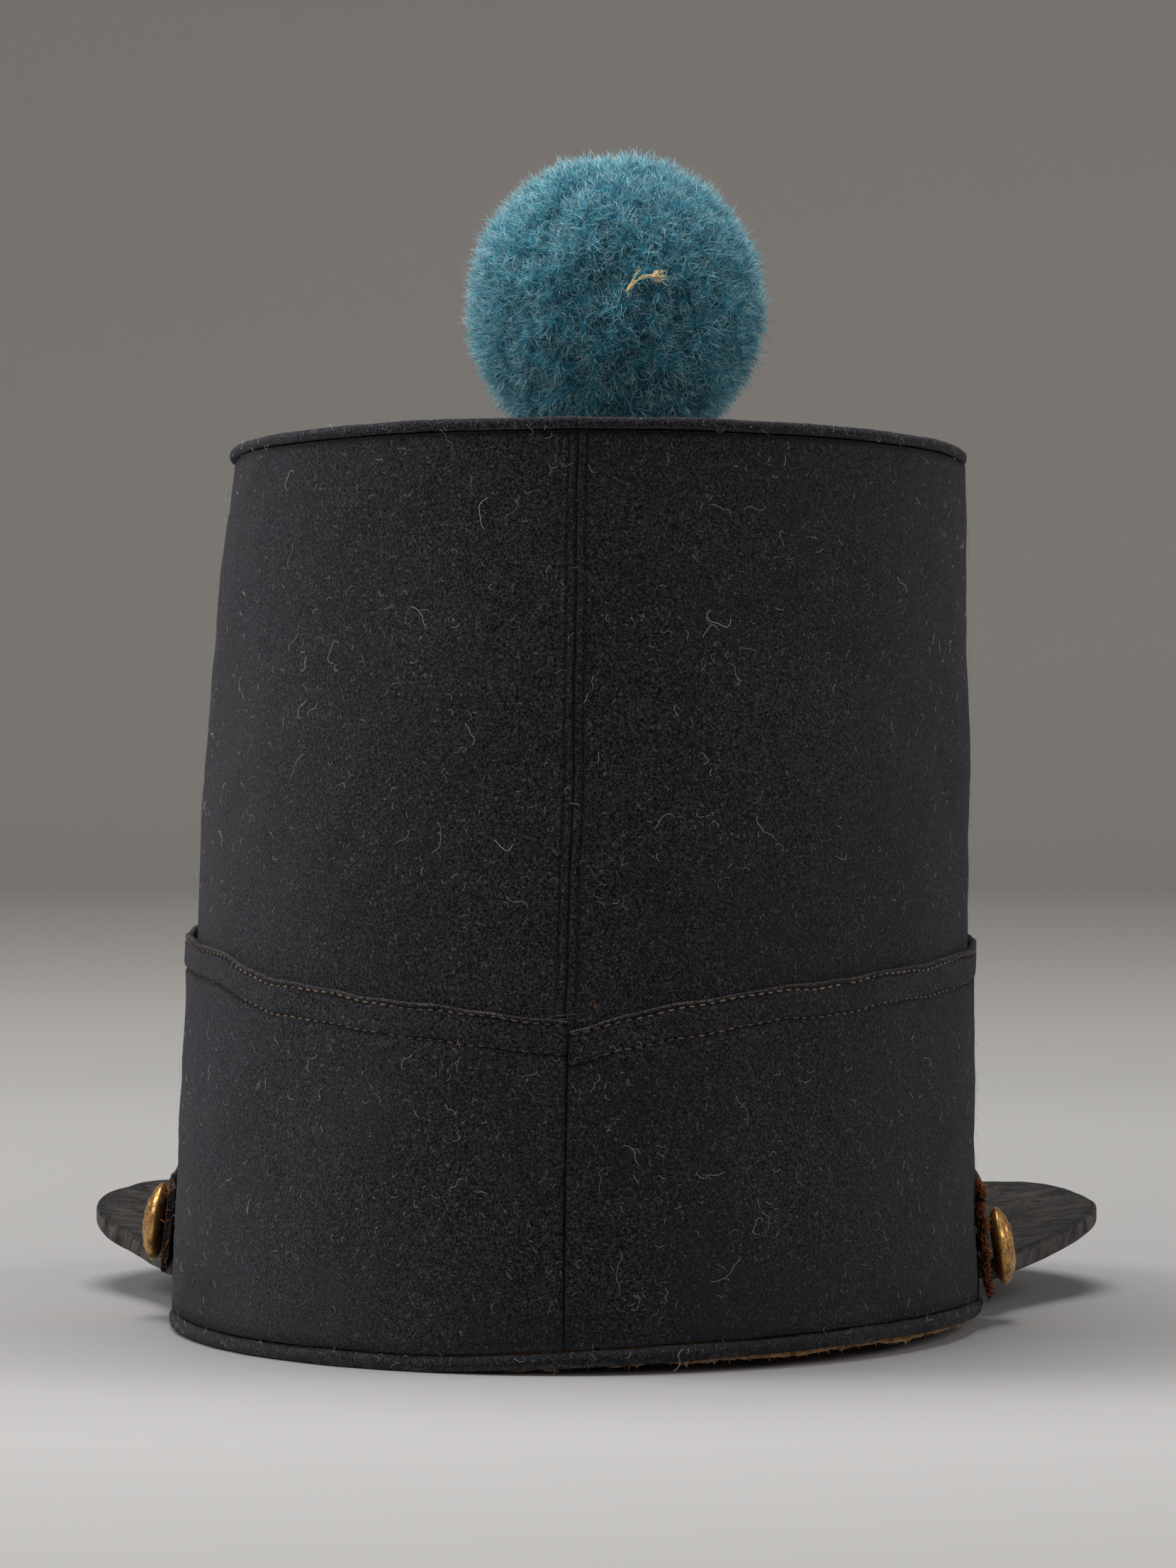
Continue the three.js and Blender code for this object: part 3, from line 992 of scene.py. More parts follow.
@dataclass(frozen=True)
class HatForm:
    """The crown's outer face. A turn is in degrees: 0 at +X, 90 at the back, 270 at the front."""

    sections: tuple[Section, ...] = (
        Section(0, 0, 0, 80.3, 97),
        Section(30, 0, -0.8, 79.6, 95),
        Section(60, -0.4, -1.5, 79, 92.5),
        Section(95, -1.6, -2.4, 78.1, 89),
        Section(125, -2.7, -3.2, 76.7, 85.8),
        Section(153, -3.6, -4, 75.3, 82.3),
        Section(176.5, -4.2, -4.5, 74.1, 79.3),
    )
    top_level: float = 176.5
    forward_slope: float = 0.0627
    lift_height: float = 3.2
    lift_from: float = 74
    lift_to: float = 215
    blend_reach: float = 9

    def column(self, name: str, level: np.ndarray) -> np.ndarray:
        """Smooth value of one column of the table at each level.

        Args:
            name: Column of Section.
            level: Heights.

        Returns:
            The values, softened over blend_reach.
        """
        table = np.array(self.sections)
        place = Section._fields.index(name)
        beyond = 200.0
        knots = np.concatenate([[2 * table[0, 0] - table[1, 0]], table[:, 0], [beyond]])
        tail = (table[-1] - table[-2]) / (table[-1, 0] - table[-2, 0])
        last = table[-1, place] + tail[place] * (beyond - table[-1, 0])
        first = 2 * table[0, place] - table[1, place]
        values = np.concatenate([[first], table[:, place], [last]])
        shifts = np.linspace(-self.blend_reach, self.blend_reach, 9)
        return np.mean([np.interp(level + shift, knots, values) for shift in shifts], axis=0)

    def place(self, turn: np.ndarray, level: np.ndarray, outset: np.ndarray) -> np.ndarray:
        """Places on the hat.

        Args:
            turn: Degrees round the hat.
            level: Height before the top's slope is added.
            outset: Distance outside the crown's outer face.

        Returns:
            x, y and z for each.
        """
        turn, level, outset = np.broadcast_arrays(turn, level, outset)
        angle = np.radians(turn)
        x = self.column("centre_x", level)
        x = x + (self.column("half_width", level) + outset) * np.cos(angle)
        y = self.column("centre_y", level)
        y = y + (self.column("half_depth", level) + outset) * np.sin(angle)
        slope = self.forward_slope * (np.maximum(level, 0) / self.top_level) ** 2
        return np.stack([x, y, level + slope * y], axis=-1)

    def rim_lift(self, turn: np.ndarray) -> np.ndarray:
        """How far the rim is sprung up from its plane.

        Args:
            turn: Degrees round the hat.

        Returns:
            The lift at each turn.
        """
        share = (np.mod(turn, 360) - self.lift_from) / (self.lift_to - self.lift_from)
        inside = (share > 0) & (share < 1)
        return np.where(inside, self.lift_height * np.sin(math.pi * np.clip(share, 0, 1)), 0.0)

    def crown_seam(self, level: np.ndarray) -> np.ndarray:
        """Turn of the crown's back seam at each level."""
        seam = np.interp(level, [66, 105, 140, 175], [91.5, 91.4, 90.7, 90.1])
        return seam + 0.07 * np.sin(level / 5.3) + 0.05 * np.sin(level / 1.9)

    def shifted(self, turn: np.ndarray, level: np.ndarray, across: float) -> np.ndarray:
        """Turn that lies a distance round the back from another, in millimetres."""
        per_degree = math.radians(1) * self.column("half_width", level)
        return turn + across / per_degree


def spaced_turns(start: float, stop: float, coarse: float, fine: Mapping[float, float]) -> np.ndarray:
    """Turns from start to stop, closer together near some of them.

    Args:
        start: First turn.
        stop: Last turn.
        coarse: Usual step in degrees.
        fine: Turn to half-width of the stretch around it that gets steps of 0.2 degrees.

    Returns:
        The turns, rising.
    """
    turns = list(np.arange(start, stop, coarse)) + [stop]
    for middle, half in fine.items():
        low, high = max(start, middle - half), min(stop, middle + half)
        turns = [turn for turn in turns if not low < turn < high]
        turns += list(np.arange(low, high, 0.2)) + [high]
    return np.unique(np.round(turns, 4))


@dataclass
class Part:
    """A sub-assembly: the finished pieces and what they stand for."""

    form: HatForm = field(default_factory=HatForm)
    made: list[Thing] = field(default_factory=list)

    def finish_piece(
        self,
        piece: Thing,
        slot: Slot,
        material: Optional[Finish] = None,
        stands_for: Sequence[str] = (),
    ) -> Thing:
        """Dresses a piece and ties it to the frame.

        Args:
            piece: The object.
            slot: The record's slot meant for its finish; not used.
            material: Its material, unless it has one.
            stands_for: Frame nodes that it takes the place of.

        Returns:
            The piece.
        """
        if material is not None:
            piece.data.materials.clear()
            piece.data.materials.append(material)
        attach(piece, BODY)
        if stands_for:
            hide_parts(*stands_for)
        self.made.append(piece)
        LOG.info("%s: %d faces", piece.name, len(piece.data.polygons))
        return piece


# ---- crown


@dataclass
class Crown(Part):
    """Tapered body wall, flat top and the thin cord between them."""

    wall: float = 1.6
    foot: float = 3.5
    head: float = 173.9
    seam_ridge: float = 0.42
    seam_ridge_half: float = 2.9
    seam_slope: float = 0.9
    groove_depth: float = 0.62
    groove_half: float = 0.26
    pull_depth: float = 0.32
    pull_half: float = 0.4
    # Strength and half-width of the painted shade along the seam and under the top cord, and at the
    # needle holes.
    shadow: float = 0.9
    shadow_half: float = 0.3
    hole_shadow: float = 0.75
    hole_half: float = 0.32
    stitch_offset: float = 1.8
    plain_below: tuple[float, float] = (56, 62)
    lift_dies: float = 40
    slow: tuple[Wave, ...] = (Wave(0.28, 46, 3), Wave(0.07, 12, 4), Wave(0.03, 3.5, 5))
    disc_under: float = 174.3
    disc_over: float = 175.9
    disc_outset: float = -1.85
    welt_radius: float = 1.1
    welt_level: float = 175.4
    welt_outset: float = -0.4

    def relief(self, turn: np.ndarray, level: np.ndarray) -> np.ndarray:
        """Outset of the cloth: the sewn-down seam, its groove and slow unevenness.

        Args:
            turn: Degrees round the hat.
            level: Heights.

        Returns:
            Outset at each turn and level.
        """
        per_degree = math.radians(1) * self.form.column("half_width", level)
        off_seam = (turn - self.form.crown_seam(level)) * per_degree
        away = np.abs(off_seam)
        ridge_top = self.seam_ridge_half - self.seam_slope
        ridge = self.seam_ridge * step_between(away, self.seam_ridge_half, ridge_top)
        groove = self.groove_depth * np.exp(-((off_seam / self.groove_half) ** 2))
        pull = self.pull_depth * np.exp(-(((away - self.stitch_offset) / self.pull_half) ** 2))
        slow = uneven(self.form.place(turn, level, 0.0), self.slow)
        return ridge - groove - pull + slow

    def crease(self, turn: np.ndarray, level: np.ndarray) -> np.ndarray:
        """Painted shade, from 0 to 1, where the seam, the needle holes and the cloth just under the top
        cord lie in their own shadow.

        Args:
            turn: Degrees round the hat.
            level: Heights.

        Returns:
            Depth of painted shade at each turn and level.
        """
        per_degree = math.radians(1) * self.form.column("half_width", level)
        away = np.abs(turn - self.form.crown_seam(level)) * per_degree
        holes = self.hole_shadow * np.exp(-(((away - self.stitch_offset) / self.hole_half) ** 2))
        under_cord = self.shadow * step_between(level, self.head - 1.3, self.head - 0.3)
        seam = self.shadow * np.exp(-((away / self.shadow_half) ** 2))
        return np.clip(seam + holes + under_cord, 0, 1)

    def build_wall(self, cloth: Finish) -> None:
        """Builds the hollow body wall.

        Args:
            cloth: Its material.
        """
        turns = spaced_turns(0, 358.4, 1.6, {91.0: 3.4})
        hidden = np.arange(self.foot, 58, 6.0)
        seen = np.arange(58, self.head - 2, 1.9)
        under_cord = self.head - np.array([1.8, 1.3, 0.8, 0.3, 0])
        levels = np.concatenate([hidden, seen, under_cord])
        turn, level = np.meshgrid(turns, levels, indexing="ij")
        level = level + self.form.rim_lift(turn) * np.clip(1 - level / self.lift_dies, 0, 1)
        shown = step_between(level, *self.plain_below)
        outside = self.form.place(turn, level, np.maximum(self.relief(turn, level), -0.6) * shown)
        inner_levels = np.linspace(self.head, self.foot, 12)
        turn_in, level_in = np.meshgrid(turns, inner_levels, indexing="ij")
        level_in = level_in + self.form.rim_lift(turn_in) * np.clip(1 - level_in / self.lift_dies, 0, 1)
        inside = self.form.place(turn_in, level_in, -self.wall)
        grid = np.concatenate([outside, inside], axis=1)
        wall = swept("crown_cloth", grid, around=True, profile_closed=True)
        # Painted shade: darkens the cloth's colour in the seam, at the needle holes and just under the
        # top cord.
        shadow = np.concatenate([self.crease(turn, level) * shown, np.zeros_like(turn_in)], axis=1)
        paint(wall, "crease", shadow)
        self.finish_piece(wall, Slot.CLOTH, cloth, ["crown_shell"])

    def build_top(self, cloth: Finish) -> None:
        """Builds the flat top.

        Args:
            cloth: Its material.
        """
        turns = np.arange(0, 360, 2.5)
        shares = np.linspace(0.04, 1.0, 25)
        rows = []
        for level, order in ((self.disc_over, shares), (self.disc_under, shares[::-1])):
            for share in order:
                inwards = -(1 - share) * 72.0
                rim = self.form.place(turns, np.full_like(turns, level), self.disc_outset)
                to_middle = -self.form.column("half_width", level)
                middle = self.form.place(np.zeros(1), np.full(1, level), to_middle)
                ring = middle + (rim - middle) * share
                if level == self.disc_over:
                    ring[:, 2] += 0.25 * ripple(ring, 30, 8) * min(1.0, -inwards / 20)
                rows.append(ring)
        grid = np.stack(rows, axis=1)
        disc = swept("crown_top", grid, around=True, profile_closed=False, poles=True)
        self.finish_piece(disc, Slot.CLOTH, cloth, ["top_disc"])

    def build_welt(self, cloth: Finish) -> None:
        """Builds the thin cord round the top edge.

        Args:
            cloth: Its material.
        """
        turns = np.arange(0, 360, 0.8)
        angles = np.radians(np.arange(0, 360, 22.5))
        turn, angle = np.meshgrid(turns, angles, indexing="ij")
        middle = self.form.place(turn, np.full_like(turn, self.welt_level), self.welt_outset)
        lumps = 1 + 0.02 * ripple(middle, 5, 9) + 0.025 * ripple(middle, 1.6, 10)
        radius = self.welt_radius * lumps
        drift = 0.05 * ripple(middle, 26, 11)
        level = self.welt_level + drift + radius * np.sin(angle)
        grid = self.form.place(turn, level, self.welt_outset + radius * np.cos(angle))
        cord = swept("top_cord", grid, around=True, profile_closed=True)
        self.finish_piece(cord, Slot.CLOTH, cloth, ["top_welt"])

    def seam_paths(self) -> list[np.ndarray]:
        """Paths of the two rows of stitches beside the seam.

        Returns:
            One path for each row.
        """
        levels = np.arange(66.5, 172.5, 1.0)
        paths = []
        for across in (-self.stitch_offset, self.stitch_offset + 0.2):
            seam = self.form.crown_seam(levels)
            turn = self.form.shifted(seam, levels, across)
            drift = 0.15 * np.sin(levels / 9 + across)
            turn = self.form.shifted(turn, levels, drift)
            paths.append(self.form.place(turn, levels, self.relief(turn, levels) + 0.1))
        return paths


# ---- lower band and base cord


@dataclass
class LowerBand(Part):
    """Second layer of cloth round the lower part, its top edge folded in and stitched twice."""

    # Turn and level of each bend of the top edge.
    edge: tuple[tuple[float, float], ...] = (
        (92, 63.8), (97, 65.7), (101, 67), (105.5, 68.5), (110, 69.5), (122, 71.5), (146, 74.2),
        (180, 77.5), (225, 82), (270, 84), (315, 82), (360, 79.8), (390, 77), (398, 74.2),
        (406, 72.3), (416, 70.6), (426, 69.2), (440, 67.4), (452, 65.4),
    )
    seam_turn: float = 92
    end_gap: float = 0.06
    inner: float = 0.3
    outer: float = 1.4
    foot: float = 3.5
    first_row: float = 0.95
    second_row: float = 6.4
    first_pull: float = 0.3
    second_pull: float = 0.5
    edge_fold: float = 0.26
    edge_round: float = 0.55
    mm_per_degree: float = 1.4
    slow: tuple[Wave, ...] = (Wave(0.22, 40, 13), Wave(0.07, 11, 14), Wave(0.03, 3.5, 15))

    def top(self, turn: np.ndarray) -> np.ndarray:
        """Level of the top edge at each turn.

        Args:
            turn: Degrees, from the seam round to the seam again.

        Returns:
            The levels, softened away from the seam.
        """
        table = np.array(self.edge)
        shifts = np.linspace(-2.0, 2.0, 5)
        values = [np.interp(turn + shift, table[:, 0], table[:, 1]) for shift in shifts]
        calm = np.mean(values, axis=0)
        sharp = np.interp(turn, table[:, 0], table[:, 1])
        near_end = np.minimum(np.abs(turn - self.seam_turn), np.abs(turn - self.seam_turn - 360))
        level = np.where(near_end < 3, sharp, calm)
        return level + 0.16 * np.sin(turn / 3.1) + 0.1 * np.sin(turn / 1.3 + 1)

    def relief(self, turn: np.ndarray, depth: np.ndarray, level: np.ndarray) -> np.ndarray:
        """Outset over the band's flat face at a depth below its top edge.

        Args:
            turn: Degrees round the hat.
            depth: Distance below the top edge.
            level: Heights.

        Returns:
            Outset at each place.
        """
        folded = self.edge_fold * step_between(depth, self.second_row + 0.2, self.second_row - 0.5)
        first = self.first_pull * np.exp(-(((depth - self.first_row) / 0.35) ** 2))
        second = self.second_pull * np.exp(-(((depth - self.second_row) / 0.4) ** 2))
        lip = np.clip(1 - depth / self.edge_round, 0, 1)
        rounded = self.edge_round * (1 - np.sqrt(np.maximum(1 - lip**2, 0)))
        end = np.minimum(turn - self.seam_turn, self.seam_turn + 360 - turn)
        end_mm = np.maximum(end, 0) * self.mm_per_degree
        turned_in = 0.45 * np.exp(-((end_mm / 0.34) ** 2))
        ridge = 0.22 * step_between(end_mm, 4.2, 3.2)
        slow = uneven(self.form.place(turn, level, 0.0), self.slow)
        return folded - first - second - rounded - turned_in + ridge + slow

    def build_band(self, cloth: Finish) -> None:
        """Builds the band, with its two ends meeting at the back seam.

        Args:
            cloth: Its material.
        """
        start, stop = self.seam_turn + self.end_gap, self.seam_turn + 360 - self.end_gap
        turns = spaced_turns(start, stop, 1.6, {start: 3.6, stop: 3.6})
        top = self.top(turns)[:, None]
        foot = (self.foot + self.form.rim_lift(turns))[:, None]
        fine = np.array([0, 0.1, 0.25, 0.45, 0.7, 0.95, 1.2, 1.6, 2.2, 3, 3.8, 4.6, 5.2, 5.6])
        fine = np.concatenate([fine, [5.9, 6.2, 6.5, 6.8, 7.2, 7.8, 9]])
        shares = np.linspace(0, 1, 27)[1:]
        lower = 9 + shares[None, :] * (top - foot - 9)
        depth = np.concatenate([np.broadcast_to(fine, (len(turns), len(fine))), lower], axis=1)
        level = top - depth
        turn = np.broadcast_to(turns[:, None], depth.shape)
        outside = self.form.place(turn, level, self.outer + self.relief(turn, depth, level))
        inner_shares = np.linspace(0, 1, depth.shape[1])
        level_in = foot + inner_shares[None, :] * (top - 0.3 - foot)
        turn_in = np.broadcast_to(turns[:, None], level_in.shape)
        inside = self.form.place(turn_in, level_in, np.full_like(level_in, self.inner))
        grid = np.concatenate([outside, inside], axis=1)
        band = swept("lower_band_cloth", grid, around=False, profile_closed=True, ends=Ends.STRIPS)
        # Painted shade: darkens the cloth in both stitch rows and at the ends' seam.
        rows = [np.exp(-(((depth - row) / 0.34) ** 2)) for row in (self.first_row, self.second_row)]
        end = np.minimum(turn - self.seam_turn, self.seam_turn + 360 - turn) * self.mm_per_degree
        shadow = np.clip(0.85 * rows[0] + 0.85 * rows[1] + 0.8 * np.exp(-((end / 0.4) ** 2)), 0, 1)
        flat = np.zeros_like(turn_in)
        paint(band, "crease", np.concatenate([shadow, flat], axis=1))
        # Rubbed nap and painted highlight: paler along the folded top edge, faintly over the fold and in
        # a line just below the second row.
        patchy = np.clip(0.55 + 0.35 * ripple(grid[:, : depth.shape[1]], 9, 17), 0, 1)
        edge = 0.95 * step_between(depth, 0.7, 0.1) + 0.05 * step_between(depth, 6.6, 5.6)
        edge += 0.16 * np.exp(-(((depth - self.second_row - 1.3) / 0.5) ** 2))
        paint(band, "wear", np.concatenate([np.clip(edge * patchy, 0, 1), flat], axis=1))
        self.finish_piece(band, Slot.CLOTH, cloth, ["lower_band"])

    def row_paths(self) -> list[np.ndarray]:
        """Paths of the two stitch rows, in one stretch each from end to end.

        Returns:
            One path for each row.
        """
        turns = np.arange(self.seam_turn + 1.0, self.seam_turn + 359.0, 0.7)
        paths = []
        for row in (self.first_row, self.second_row):
            sway = 0.25 * np.sin(turns / 4 + row)
            depth = np.full_like(turns, row) + sway
            level = self.top(turns) - depth
            outset = self.outer + self.relief(turns, np.full_like(turns, row), level) + 0.16
            paths.append(self.form.place(turns, level, outset))
        return paths

    def tack_paths(self) -> list[np.ndarray]:
        """Short threads that tack the two ends together at the top of the seam.

        Returns:
            One path for each thread.
        """
        paths = []
        for level, reach in ((66.7, 1.9), (66.0, 1.5), (65.2, 1.2)):
            across = np.linspace(-reach, reach + 0.4, 7)
            levels = np.full_like(across, level)
            turn = self.form.shifted(np.full_like(across, 91.6), levels, across)
            bow = 0.25 * np.cos(np.linspace(-1.5, 1.5, 7))
            paths.append(self.form.place(turn, levels + 0.1 * across, 0.55 + bow))
        return paths


@dataclass
class BaseCord(Part):
    """Thick cloth-covered cord round the rim, and the tan leather edge just inside it."""

    radius: float = 1.6
    outset: float = 0.65
    sides: int = 22
    sweat_outer: float = -1.95
    sweat_inner: float = -3.15
    sweat_curl: float = 1.3
    sweat_foot: float = 0.3
    sweat_follow: float = 0.6
    sweat_head: float = 30
    sweat_ragged: tuple[Wave, ...] = (Wave(0.16, 16, 31), Wave(0.1, 3.6, 32))
    slit_turn: float = 96.4
    slit_half: float = 0.6
    tack_turns: tuple[float, ...] = (118.6, 128.8)
    tack_pull: float = 0.22

    def build_cord(self, cloth: Finish) -> None:
        """Builds the cord, pulled in where it is tacked.

        Args:
            cloth: Its material.
        """
        turns = np.arange(0, 360, 0.7)
        angles = np.arange(self.sides) * 2 * math.pi / self.sides
        turn, angle = np.meshgrid(turns, angles, indexing="ij")
        lift = self.form.rim_lift(turn)
        seat = self.radius * math.cos(math.pi / 10)
        middle = self.form.place(turn, seat + lift, self.outset)
        lumps = 1 + 0.035 * ripple(middle, 9, 21) + 0.02 * ripple(middle, 2.2, 22)
        for tack in self.tack_turns:
            lumps = lumps - self.tack_pull * np.exp(-(((turn - tack) / 0.35) ** 2))
        radius = self.radius * lumps
        level = np.maximum(seat + lift + radius * np.sin(angle), lift)
        grid = self.form.place(turn, level, self.outset + radius * np.cos(angle))
        cord = swept("base_cord", grid, around=True, profile_closed=True)
        patchy = np.clip(0.25 + 0.5 * ripple(middle, 14, 23) + 0.3 * ripple(middle, 3, 24), 0, 1)
        paint(cord, "wear", patchy * step_between(np.sin(angle), -0.1, -0.75))
        self.finish_piece(cord, Slot.CLOTH, cloth, ["base_welt"])

    def edge_level(self, turn: np.ndarray) -> np.ndarray:
        """Level of the ragged lower edge of the tan leather.

        Args:
            turn: Degrees round the hat.

        Returns:
            The levels.
        """
        points = self.form.place(turn, np.zeros_like(turn), 0.0)
        ragged = uneven(points, self.sweat_ragged)
        level = self.sweat_foot + self.sweat_follow * self.form.rim_lift(turn) + ragged
        return np.maximum(level, 0.02)

    def build_sweatband(self, tan: Finish) -> None:
        """Builds the leather strip inside the rim, with its ends a little apart.

        Args:
            tan: Its material.
        """
        start, stop = self.slit_turn + self.slit_half, self.slit_turn + 360 - self.slit_half
        turns = np.append(np.arange(start, stop, 0.7), stop)
        foot = self.edge_level(turns)[:, None]
        shares = np.concatenate([[0, 0.01, 0.03, 0.08], np.linspace(0.2, 1, 7)])
        level = foot + shares[None, :] * (self.sweat_head - foot)
        turn = np.broadcast_to(turns[:, None], level.shape)
        lifted = self.form.rim_lift(turn) / self.form.lift_height
        curl = self.sweat_curl * lifted * step_between(level - foot, 2.4, 0.2)
        outside = self.form.place(turn, level, self.sweat_outer + curl)
        inside = self.form.place(turn, level, self.sweat_inner + curl)[:, ::-1]
        grid = np.concatenate([outside, inside], axis=1)
        strip = swept("sweatband_leather", grid, around=False, profile_closed=True, ends=Ends.STRIPS)
        self.finish_piece(strip, Slot.TAN, tan, ["sweatband"])


# ---- visor and strap


class VisorRow(NamedTuple):
    """One row of the visor's +X side, from where it leaves the body to its outer edge."""

    inner_turn: float
    inner_top: float
    x: float
    y: float
    top: float


@dataclass
class Visor(Part):
    """Thick leather crescent at the front, its corners rounded and turned up a little."""

    rows: tuple[VisorRow, ...] = (
        VisorRow(-7.6, 12, 86, -13.5, 11.8),
        VisorRow(-12, 12, 88.2, -22, 12),
        VisorRow(-17, 12, 91.8, -31, 12.6),
        VisorRow(-22, 11.9, 96.8, -41.5, 13.9),
        VisorRow(-26.5, 11.8, 101.6, -51, 15.2),
        VisorRow(-31, 11.7, 105.4, -60.5, 16.4),
        VisorRow(-35.5, 11.6, 107.2, -70, 17.3),
        VisorRow(-40, 11.4, 107, -80, 18.2),
        VisorRow(-45, 11.2, 104.4, -91, 19.1),
        VisorRow(-51, 11, 98.6, -103.5, 19.6),
        VisorRow(-58, 10.8, 88.8, -116, 19.2),
        VisorRow(-66, 10.6, 74, -128, 18.3),
        VisorRow(-74, 10.3, 54, -138.5, 17.2),
        VisorRow(-82, 10.1, 28, -146.5, 16.2),
        VisorRow(-90, 10, 0, -149.5, 15.8),
    )
    thickness: float = 4.3
    edge_round: float = 1.3
    outset: float = 1.8
    stations: int = 260
    flat_steps: int = 15
    corner_steps: int = 6
    lowest: float = 6.0
    slow: tuple[Wave, ...] = (Wave(0.22, 36, 41), Wave(0.06, 9, 42))

    def edges(self) -> tuple[np.ndarray, np.ndarray]:
        """Inner and outer edge of the top face, from the +X corner round to the -X corner.

        Returns:
            Places along the inner edge and along the outer edge.
        """
        one_side = np.array(self.rows)
        other = one_side[:-1][::-1].copy()
        other[:, 0] = -180 - other[:, 0]
        other[:, 2] = -other[:, 2]
        rows = through_rows(np.vstack([one_side, other]), self.stations)
        inner = self.form.place(rows[:, 0], rows[:, 1], self.outset)
        inner[:, 2] = rows[:, 1]
        return inner, rows[:, 2:5]

    def section(self, width: np.ndarray) -> list[tuple[np.ndarray, np.ndarray]]:
        """Section across the leather, out along its top, round its edge and back underneath.

        Args:
            width: Width of the crescent at each station.

        Returns:
            Share of the width and drop below the top face, for each point of the section.
        """
        corner = np.minimum(self.edge_round, 0.42 * width)
        points = []
        for share in np.linspace(0, 1, self.flat_steps):
            points.append((share * (1 - corner / width), np.zeros_like(width)))
        for angle in np.linspace(0, math.pi / 2, self.corner_steps + 1)[1:]:
            reach = 1 - corner / width * (1 - math.sin(angle))
            points.append((reach, self.edge_round * (1 - math.cos(angle))))
        under = [(reach, self.thickness - drop) for reach, drop in points[::-1]]
        return points + under

    def build(self, leather: Finish) -> None:
        """Builds the crescent.

        Args:
            leather: Its material.
        """
        inner, outer = self.edges()
        width = np.linalg.norm(outer - inner, axis=1)
        section = self.section(width)
        points = []
        for reach, drop in section:
            point = inner + (outer - inner) * np.reshape(reach, (-1, 1))
            point[:, 2] -= drop
            points.append(point)
        grid = np.stack(points, axis=1)
        grid[..., 2] += step_between(width, 4, 20)[:, None] * uneven(grid, self.slow)
        grid[..., 2] = np.maximum(grid[..., 2], self.lowest)
        plate = swept("visor_leather", grid, around=False, profile_closed=True, ends=Ends.STRIPS)
        steps = np.arange(len(section))
        half = len(section) // 2
        # Painted shade along the top of the rounded edge, and a paler rim that is rubbed leather and
        # painted highlight.
        rim_painted_shade = np.exp(-(((steps - half + self.corner_steps) / 1.1) ** 2))
        side_wear_and_highlight = np.where((steps >= half - 2) & (steps <= half + self.corner_steps), 1.0, 0.0)
        patchy = np.clip(0.5 + 0.3 * ripple(grid, 8, 43) + 0.25 * ripple(grid, 1.8, 44), 0, 1)
        paint(plate, "wear", 0.9 * side_wear_and_highlight * patchy)
        paint(plate, "crease", np.broadcast_to(0.9 * rim_painted_shade, patchy.shape))
        self.finish_piece(plate, Slot.LEATHER, leather, ["visor"])


class StrapRow(NamedTuple):
    """One row of the chin strap. Its lower edge stands off by flare more than its upper edge."""

    turn: float
    low: float
    high: float
    outset: float
    flare: float


